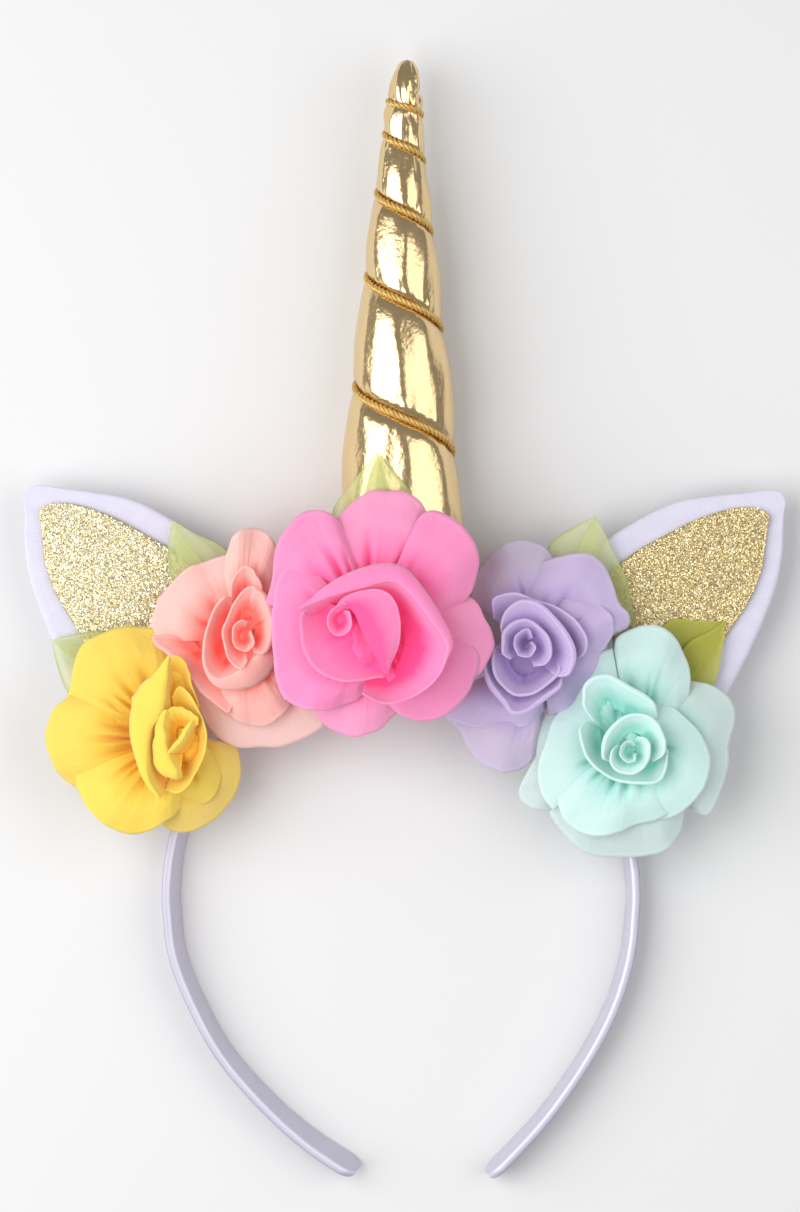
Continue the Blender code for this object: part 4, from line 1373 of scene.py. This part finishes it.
ROSES["mint"] = {
    "toward": (628, 745),
    "skirt": (
        {
            "layer": "rear", "gathers": 1,
            "rim": (
                (672, 676), (690, 681), (708, 684), (723, 693), (733, 706), (734, 722), (728, 746),
                (727, 766), (719, 795), (711, 811), (702, 815), (686, 806), (672, 790),
            ),
        },
        {
            "layer": "rear", "gathers": 2,
            "rim": (
                (544, 800), (552, 818), (566, 837), (586, 852), (610, 857), (643, 856), (665, 850),
                (679, 833), (684, 810),
            ),
        },
        {
            "layer": "rear", "gathers": 1, "heights": (3.0, 5.0, 4.2, 1.8),
            "rim": (
                (590, 700), (570, 710), (556, 722), (546, 740), (532, 763), (520, 786), (520, 799),
                (533, 808), (556, 812),
            ),
        },
        {
            "layer": "outer", "gathers": 4,
            "rim": (
                (612, 656), (616, 638), (634, 628), (655, 625), (672, 635), (683, 653), (689, 673),
                (688, 694), (682, 716),
            ),
        },
        {
            "layer": "inner", "gathers": 4,
            "rim": (
                (556, 786), (558, 806), (568, 824), (588, 834), (612, 832), (637, 823), (658, 818),
                (676, 804),
            ),
        },
        {
            "layer": "inner", "gathers": 3,
            "rim": (
                (640, 690), (660, 700), (680, 713), (699, 733), (708, 756), (706, 778), (694, 799),
                (674, 815), (652, 820),
            ),
        },
        {
            "layer": "outer", "gathers": 3, "droop": 0.4,
            "rim": (
                (612, 648), (598, 654), (582, 676), (569, 697), (553, 720), (543, 746), (537, 770),
                (541, 793), (553, 810),
            ),
        },
        {
            "layer": "rear", "gathers": 1,
            "rim": ((612, 636), (588, 650), (570, 673), (555, 697), (541, 722), (531, 746), (530, 770)),
        },
    ),
    "whorl": (
        {
            "toward": (626, 742), "root": 0.5, "heights": (7.6, 9.0, 11.2, 13.4), "gathers": 3,
            "rim": (
                (586, 716), (583, 700), (585, 686), (592, 679), (606, 677), (622, 686), (643, 697),
                (662, 712),
            ),
            "turned": (2, 3, 4, 4, 5, 6, 5, 2),
        },
        {
            "toward": (626, 744), "root": 0.55, "heights": (7.8, 9.0, 11.0, 13.8), "gathers": 4,
            "rim": (
                (577, 716), (579, 732), (584, 750), (597, 768), (618, 779), (641, 782), (658, 777),
                (664, 754), (660, 736),
            ),
            "turned": (1, 2, 3, 3, 3, 3, 3, 2, 1),
        },
    ),
    "bud": (
        {
            "toward": (628, 746), "root": 0.45, "heights": (8.8, 10.4, 13.2, 16.0), "gathers": 1,
            "rim": (
                (603, 764), (602, 752), (606, 736), (618, 720), (634, 714), (650, 719), (660, 734),
                (662, 748), (656, 764),
            ),
            "turned": (1, 4, 5, 4, 3, 3, 3, 3, 1),
        },
        {
            "toward": (627, 751), "root": 0.4, "heights": (9.4, 11.6, 14.6, 17.2), "gathers": 0,
            "rim": ((638, 732), (646, 744), (644, 760), (632, 771), (616, 768), (609, 756), (612, 742)),
            "turned": (1, 3, 3, 3, 3, 2, 1),
        },
        {
            "turned": 0.8, "toward": (628, 750), "root": 0.4, "heights": (9.6, 12.4, 15.6, 18.0),
            "gathers": 0, "rim": ((634, 742), (625, 740), (618, 748), (621, 758), (630, 760), (636, 753)),
        },
    ),
}


def fold_shape(gathers, rng):
    """Narrow valleys across a petal: for each, where along the petal it is, and its size."""
    folds = []
    for k in range(gathers):
        centre = (k + 0.5 + rng.uniform(-FOLD["shift"], FOLD["shift"])) / gathers
        folds.append(
            {
                "centre": FOLD["margin"] + (1 - 2 * FOLD["margin"]) * centre,
                "width": rng.uniform(*FOLD["width"]),
                "depth": rng.uniform(*FOLD["depth"]) * MM,
                "reach": rng.uniform(*FOLD["reach"]),
            }
        )
    return folds


def petal_edges(petal, layer, toward, s, wander):
    """A petal's rim and its foot, each one smooth curve in plan."""
    rim = smooth_through(from_photo(petal["rim"]), s)
    apart = RIM_WANDER["apart"]
    rim = rim + RIM_WANDER["size"] * np.array(
        [[noise.noise(Vector((wander, RIM_WANDER["along"] * a, k * apart))) for k in (0, 1)] for a in s]
    )
    root = petal.get("root", layer.get("root"))
    if isinstance(root, tuple):
        return rim, smooth_through(from_photo(root), s)
    toward = from_photo([petal.get("toward", toward)])[0]
    return rim, toward + (rim - toward) * root


def fold_petal(petal, s, t, rng):
    """How far folds lift or lower a petal, and the painted shade in its fold valleys."""
    is_lobe = "layer" in petal
    size = petal.get("folds", 1 if is_lobe else HEART_FOLDS)
    lift = np.zeros((len(t), len(s)))
    painted_crease_shade = np.zeros_like(lift)
    for fold in fold_shape(petal.get("gathers", 2), rng):
        across = (s[None] - fold["centre"]) / fold["width"]
        fade = eased(np.clip((fold["reach"] - t[:, None]) / (FOLD_FADE * fold["reach"]), 0, 1))
        valley = np.exp(-(across**2)) * fade
        ridge = np.exp(-((np.abs(across) - FOLD_RIDGE["away"]) ** 2)) * fade
        lift += fold["depth"] * size * (FOLD_RIDGE["height"] * ridge - valley)
        painted_crease_shade = np.maximum(painted_crease_shade, CREASE_PAINTED_SHADE["lobe" if is_lobe else "heart"] * valley)
    return lift, painted_crease_shade


def streak_petal(is_lobe, s, t, wander):
    """Fine lines from a petal's foot, which fade towards its rim."""
    streaks = []
    for a in s:
        wide = noise.noise(Vector((STREAKS["wide"] * a, wander, 3.0)))
        fine = noise.noise(Vector((STREAKS["fine"] * a, wander, 8.0)))
        streaks.append(wide + STREAKS["fine_share"] * fine)
    size = STREAKS["size"] * (1 if is_lobe else HEART_STREAKS)
    return size * np.array(streaks)[None] * (1 - STREAKS["fade"] * t[:, None])


def turn_edge(petal, s, rim, inner, height):
    """The rows of a petal's edge that is turned outwards and down."""
    widths = petal["turned"]
    widths = np.full(len(petal["rim"]), widths) if np.isscalar(widths) else np.array(widths)
    widths = np.maximum(smooth_through(widths, s), TURNED["least"])
    narrow = widths < TURNED["wide"]
    widths = np.where(narrow, TURNED["narrow_share"] * widths, widths - TURNED["hidden"]) * PHOTO_PIXEL
    along = np.gradient(rim, axis=0)
    normal = unit(np.stack([along[:, 1], -along[:, 0]], 1), 1e-12)
    normal *= np.sign(((rim - inner) * normal).sum(1))[:, None]
    near = TURNED["smooth"]
    window = np.ones(2 * near + 1) / (2 * near + 1)
    normal = np.array([np.convolve(np.pad(normal[:, k], near, "edge"), window, "valid") for k in (0, 1)]).T
    rows, depths = [], []
    for u in np.arange(1, TURNED_ROWS + 1) / TURNED_ROWS:
        drop = widths * (TURNED_DROP["curve"] * u * u - TURNED_DROP["lip"] * u)
        rows.append(raised(rim + normal * (widths * u)[:, None], height - drop))
        depths.append(np.full(PETAL_ALONG, TURNED_DEEP * (1 - u)))
    return np.array(rows), np.array(depths)


def petal_grid(petal, rose, part, level, rng):
    """The points of one petal, and its marks: depth for painted shade and rim highlight, painted crease
    shade, single layer.
    """
    is_lobe = "layer" in petal
    layer = LAYERS.get(petal.get("layer"), {})
    heights = np.array(petal.get("heights", layer.get("heights"))) * MM
    if part == "bud":
        heights = heights[-1] + BUD_DEPTH * (heights - heights[-1])
    s = np.linspace(0, 1, PETAL_ALONG)
    t = np.linspace(0, 1, PETAL_ACROSS)
    wander = rng.uniform(0, 50)
    rim, inner = petal_edges(petal, layer, rose["toward"], s, wander)
    ends = np.clip(np.minimum(s, 1 - s) / TUCK_REACH, 0, 1)
    tuck = petal.get("tuck", 0.0 if is_lobe else TUCK) * (1 - eased(ends))
    rim = rim + (inner - rim) * tuck[:, None]
    plan = inner[None] + (rim - inner)[None] * t[:, None, None]
    rise = smooth_through(heights, t)
    z = level + rise[:, None] - (rise - rise[0])[:, None] * tuck[None]
    lift, painted_crease_shade = fold_petal(petal, s, t, rng)
    z += lift + streak_petal(is_lobe, s, t, wander)
    if is_lobe:
        phase = rng.uniform(0, RUFFLE["phases"])
        waves = rng.uniform(*RUFFLE["waves"])
        z += RUFFLE["height"] * MM * np.sin(2 * math.pi * waves * s + phase)[None] * (t[:, None] ** 2)
        z -= petal.get("droop", layer["droop"]) * MM * (np.abs(2 * s - 1) ** 4)[None] * t[:, None]
    # Depth runs from 1 at the root to 0 at the rim: it paints shade towards the root and a highlight at the
    # rim.
    depth = np.repeat((1 - t)[:, None], PETAL_ALONG, 1)
    grid = raised(plan, z)
    if np.any(np.asarray(petal.get("turned", 0)) > 0):
        edge, edge_depth = turn_edge(petal, s, rim, inner, z[-1])
        grid = np.concatenate([grid, edge])
        depth = np.concatenate([depth, edge_depth])
        painted_crease_shade = np.concatenate([painted_crease_shade, np.zeros((TURNED_ROWS, PETAL_ALONG))])
    if not is_lobe:
        depth = np.clip(HEART_PAINTED_SHADE_SPREAD * depth, 0, 1)
    single = np.full_like(depth, layer.get("single", 0.0))
    single *= np.clip(SINGLE_FADE["start"] - SINGLE_FADE["slope"] * depth, 0, 1)
    return grid, np.stack([depth, painted_crease_shade, single], -1)


def base_grid(rose, part, level):
    """The gathered cloth at the foot of one ring of petals, kept inside their walls and painted in deep
    shade.
    """
    rims = np.concatenate([from_photo(petal["rim"]) for petal in rose[part]])
    centre = (rims.min(axis=0) + rims.max(axis=0)) / 2
    if part == "skirt":
        centre = from_photo([rose["toward"]])[0]
    rims = rims - centre
    reach = np.linalg.norm(rims, axis=1)
    bearing = np.arctan2(rims[:, 1], rims[:, 0])
    angles = np.linspace(0, 2 * math.pi, BASE_SPOKES)
    apart = np.abs((bearing[None] - angles[:, None] + math.pi) % (2 * math.pi) - math.pi)
    closest = reach[apart.argmin(axis=1)]
    nearest = np.minimum(np.where(apart < BASE_LOOK, reach[None], reach.max()).min(axis=1), closest)
    nearest = np.convolve(np.concatenate([nearest[-4:-1], nearest, nearest[1:4]]), np.ones(7) / 7, "valid")
    base = BASES[part]
    ring = np.stack([np.cos(angles), np.sin(angles)], 1) * (base["share"] * nearest)[:, None]
    t = np.linspace(0, 1, BASE_RINGS)
    slope = np.clip((t - BASE_FLAT) / (1 - BASE_FLAT), 0, 1) ** 2
    rise = base["low"] + (base["high"] - base["low"]) * slope
    ripple = BASE_RIPPLE["height"] * MM * t[:, None] * np.sin(BASE_RIPPLE["waves"] * angles)
    grid = raised(centre + ring[None] * t[:, None, None], level + MM * rise[:, None] + ripple)
    marks = np.zeros_like(grid)
    marks[..., 0] = BASE_PAINTED_SHADE
    return grid, marks


def make_rose(colour):
    """One rose in three pieces, each of gathered petals: skirt, whorl and bud."""
    rose = ROSES[colour]
    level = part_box("rose_" + colour + "_skirt")[0].z
    for part in ("skirt", "whorl", "bud"):
        rng = np.random.default_rng(sum(ord(c) for c in colour + part))
        points, faces, shades, area = [], [], [], 0.0
        grids = [petal_grid(petal, rose, part, level, rng) for petal in rose[part]]
        for grid, marks in [*grids, base_grid(rose, part, level)]:
            for p in grid.reshape(-1, 3):
                p[2] += CLOTH_CRINKLE["height"] * MM * noise.noise(Vector(p) * CLOTH_CRINKLE["scale"])
            faces += grid_faces(*grid.shape[:2], len(points))
            points += list(grid.reshape(-1, 3))
            shades += list(marks.reshape(-1, 3))
            area += cloth_area(grid)
        name = "chiffon_" + colour + "_" + part
        node = "rose_" + colour + "_" + part
        piece = add_piece(name, points, faces, CHIFFON[colour], [node], ("cloth", shades))
        thicken(piece, CHIFFON_THICKNESS)


# Leaves

LEAVES = {
    "yellow": {
        "left": ((52, 640), (56, 662), (66, 690), (84, 716)),
        "right": ((52, 640), (76, 634), (104, 632), (134, 650)), "fold": 0.5,
    },
    "salmon": {
        "left": ((173, 520), (168, 546), (170, 574), (186, 610)),
        "right": ((173, 520), (196, 534), (224, 548), (250, 580)), "fold": 0.35,
    },
    "pink": {
        "left": ((378, 453), (352, 484), (333, 512), (338, 545)),
        "right": ((378, 453), (396, 476), (412, 496), (422, 540)), "fold": 0.5,
    },
    "lavender": {
        "left": ((596, 516), (572, 528), (549, 546), (540, 580)),
        "right": ((596, 516), (612, 548), (628, 584), (636, 630)), "fold": 0.45,
    },
    "mint": {
        "left": ((725, 621), (700, 621), (668, 622), (650, 660)),
        "right": ((725, 621), (722, 650), (714, 684), (690, 712)), "fold": 0.5, "folded": 1.0,
    },
}
LEAF_ROWS = 40
LEAF_COLUMNS = 31
LEAF_THICKNESS = 0.00022

# The two panels of a leaf, with how far each goes past the fold, and its height in millimetres.
LEAF_PANELS = (
    {"from": 0.0, "past": 0.22, "lift": 0.3},
    {"from": 1.0, "past": -0.12, "lift": 0.9},
)
LEAF_RIDGE = {"height": 1.1, "shape": 1.5, "along": 0.6}
LEAF_RIPPLE = {"height": 0.25, "waves": 9}
HEM_NARROWNESS = {"tip": 4, "more": 18}


def make_leaf(colour):
    """A piece of organza folded to a point: two panels that overlap along the middle."""
    leaf = LEAVES[colour]
    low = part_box("leaf_" + colour)[0]
    t = np.linspace(0, 1, LEAF_ROWS)
    left = smooth_through(from_photo(leaf["left"]), t)
    right = smooth_through(from_photo(leaf["right"]), t)
    ridge = LEAF_RIDGE["height"] * MM * np.linspace(0, 1, LEAF_COLUMNS)[None] ** LEAF_RIDGE["shape"]
    narrow = HEM_NARROWNESS["tip"] + HEM_NARROWNESS["more"] * t[:, None]
    points, faces, hems, area = [], [], [], 0.0
    for panel in LEAF_PANELS:
        first, last, lift = panel["from"], leaf["fold"] + panel["past"], panel["lift"]
        s = np.linspace(first, last, LEAF_COLUMNS)
        plan = left[:, None] + (right - left)[:, None] * s[None, :, None]
        wave = np.sin(LEAF_RIPPLE["waves"] * t + 4 * lift)[:, None]
        ripple = LEAF_RIPPLE["height"] * MM * wave * t[:, None]
        grid = raised(plan, low.z + lift * MM + ridge * t[:, None] ** LEAF_RIDGE["along"] + ripple)
        near_edge = np.clip(1 - np.abs(s - first)[None] * narrow, 0, 1)
        near_fold = 0.5 * np.clip(1 - np.abs(s - last)[None] * narrow, 0, 1)
        hem = np.maximum(near_edge, near_fold)
        folded = np.full_like(hem, leaf.get("folded", 0.0))
        faces += grid_faces(LEAF_ROWS, LEAF_COLUMNS, len(points))
        points += list(grid.reshape(-1, 3))
        hems += list(np.stack([hem, folded, folded], -1).reshape(-1, 3))
        area += cloth_area(grid)
    name = "organza_leaf_" + colour
    piece = add_piece(name, points, faces, ORGANZA, ["leaf_" + colour], ("hem", hems))
    thicken(piece, LEAF_THICKNESS)


# Stage, light and camera

WORLD_LIGHT = 0.30
FLOOR_SIZE = 3.0
VIEW_REACH = 20.0
SOFTBOXES = (
    {"name": "key", "lean": -42, "distance": 0.85, "width": 1.06, "length": 0.80, "watts": 8.5},
    {"name": "fill", "lean": 41, "distance": 0.85, "width": 0.80, "length": 0.80, "watts": 3.0},
)


def make_stage():
    """A wide pale floor, left out of the part."""
    size = FLOOR_SIZE
    corners = [(-size, -size, 0), (size, -size, 0), (size, size, 0), (-size, size, 0)]
    mesh = bpy.data.meshes.new("floor")
    mesh.from_pydata(corners, [], [(0, 1, 2, 3)])
    floor = bpy.data.objects.new("floor", mesh)
    bpy.context.scene.collection.objects.link(floor)
    made, tree, shader = new_material("pale_floor", Roughness=0.9, Specular_IOR_Level=0.1)
    colour = mixed(tree, cloudy(tree, 3.0), (0.765, 0.765, 0.77, 1), (0.775, 0.775, 0.78, 1))
    tree.links.new(colour, shader.inputs["Base Color"])
    mesh.materials.append(made)


def make_light():
    """Even studio light and two soft boxes, one on each side."""
    world = bpy.data.worlds.new("studio")
    bpy.context.scene.world = world
    world.use_nodes = True
    world.node_tree.nodes["Background"].inputs["Color"].default_value = (1, 1, 1, 1)
    world.node_tree.nodes["Background"].inputs["Strength"].default_value = WORLD_LIGHT
    for box in SOFTBOXES:
        data = bpy.data.lights.new(box["name"] + "_softbox", "AREA")
        data.shape = "RECTANGLE"
        data.size = box["width"]
        data.size_y = box["length"]
        data.energy = box["watts"]
        lamp = bpy.data.objects.new(box["name"] + "_softbox", data)
        lean = math.radians(box["lean"])
        lamp.location = Vector((math.sin(lean), 0.0, math.cos(lean))) * box["distance"]
        lamp.rotation_euler = (0.0, lean, 0.0)
        lamp.visible_camera = False
        bpy.context.scene.collection.objects.link(lamp)


def make_camera():
    """A camera straight above the part, which frames it as the photograph does."""
    data = bpy.data.cameras.new("camera")
    height = PHOTO_HEIGHT * PHOTO_PIXEL
    data.sensor_width = SENSOR
    data.lens = SENSOR * (CAMERA_HEIGHT - SUBJECT_HEIGHT) / height
    data.clip_end = VIEW_REACH
    camera = bpy.data.objects.new("camera", data)
    x, y = from_photo([PHOTO_MIDDLE])[0]
    camera.location = (x, y, CAMERA_HEIGHT)
    bpy.context.scene.collection.objects.link(camera)
    bpy.context.scene.camera = camera
    bpy.context.scene.view_settings.view_transform = "Standard"


make_camera()
make_light()
make_stage()
make_band()
make_horn()
make_cord()
make_ears()
for rose_colour in ROSES:
    make_leaf(rose_colour)
    make_rose(rose_colour)
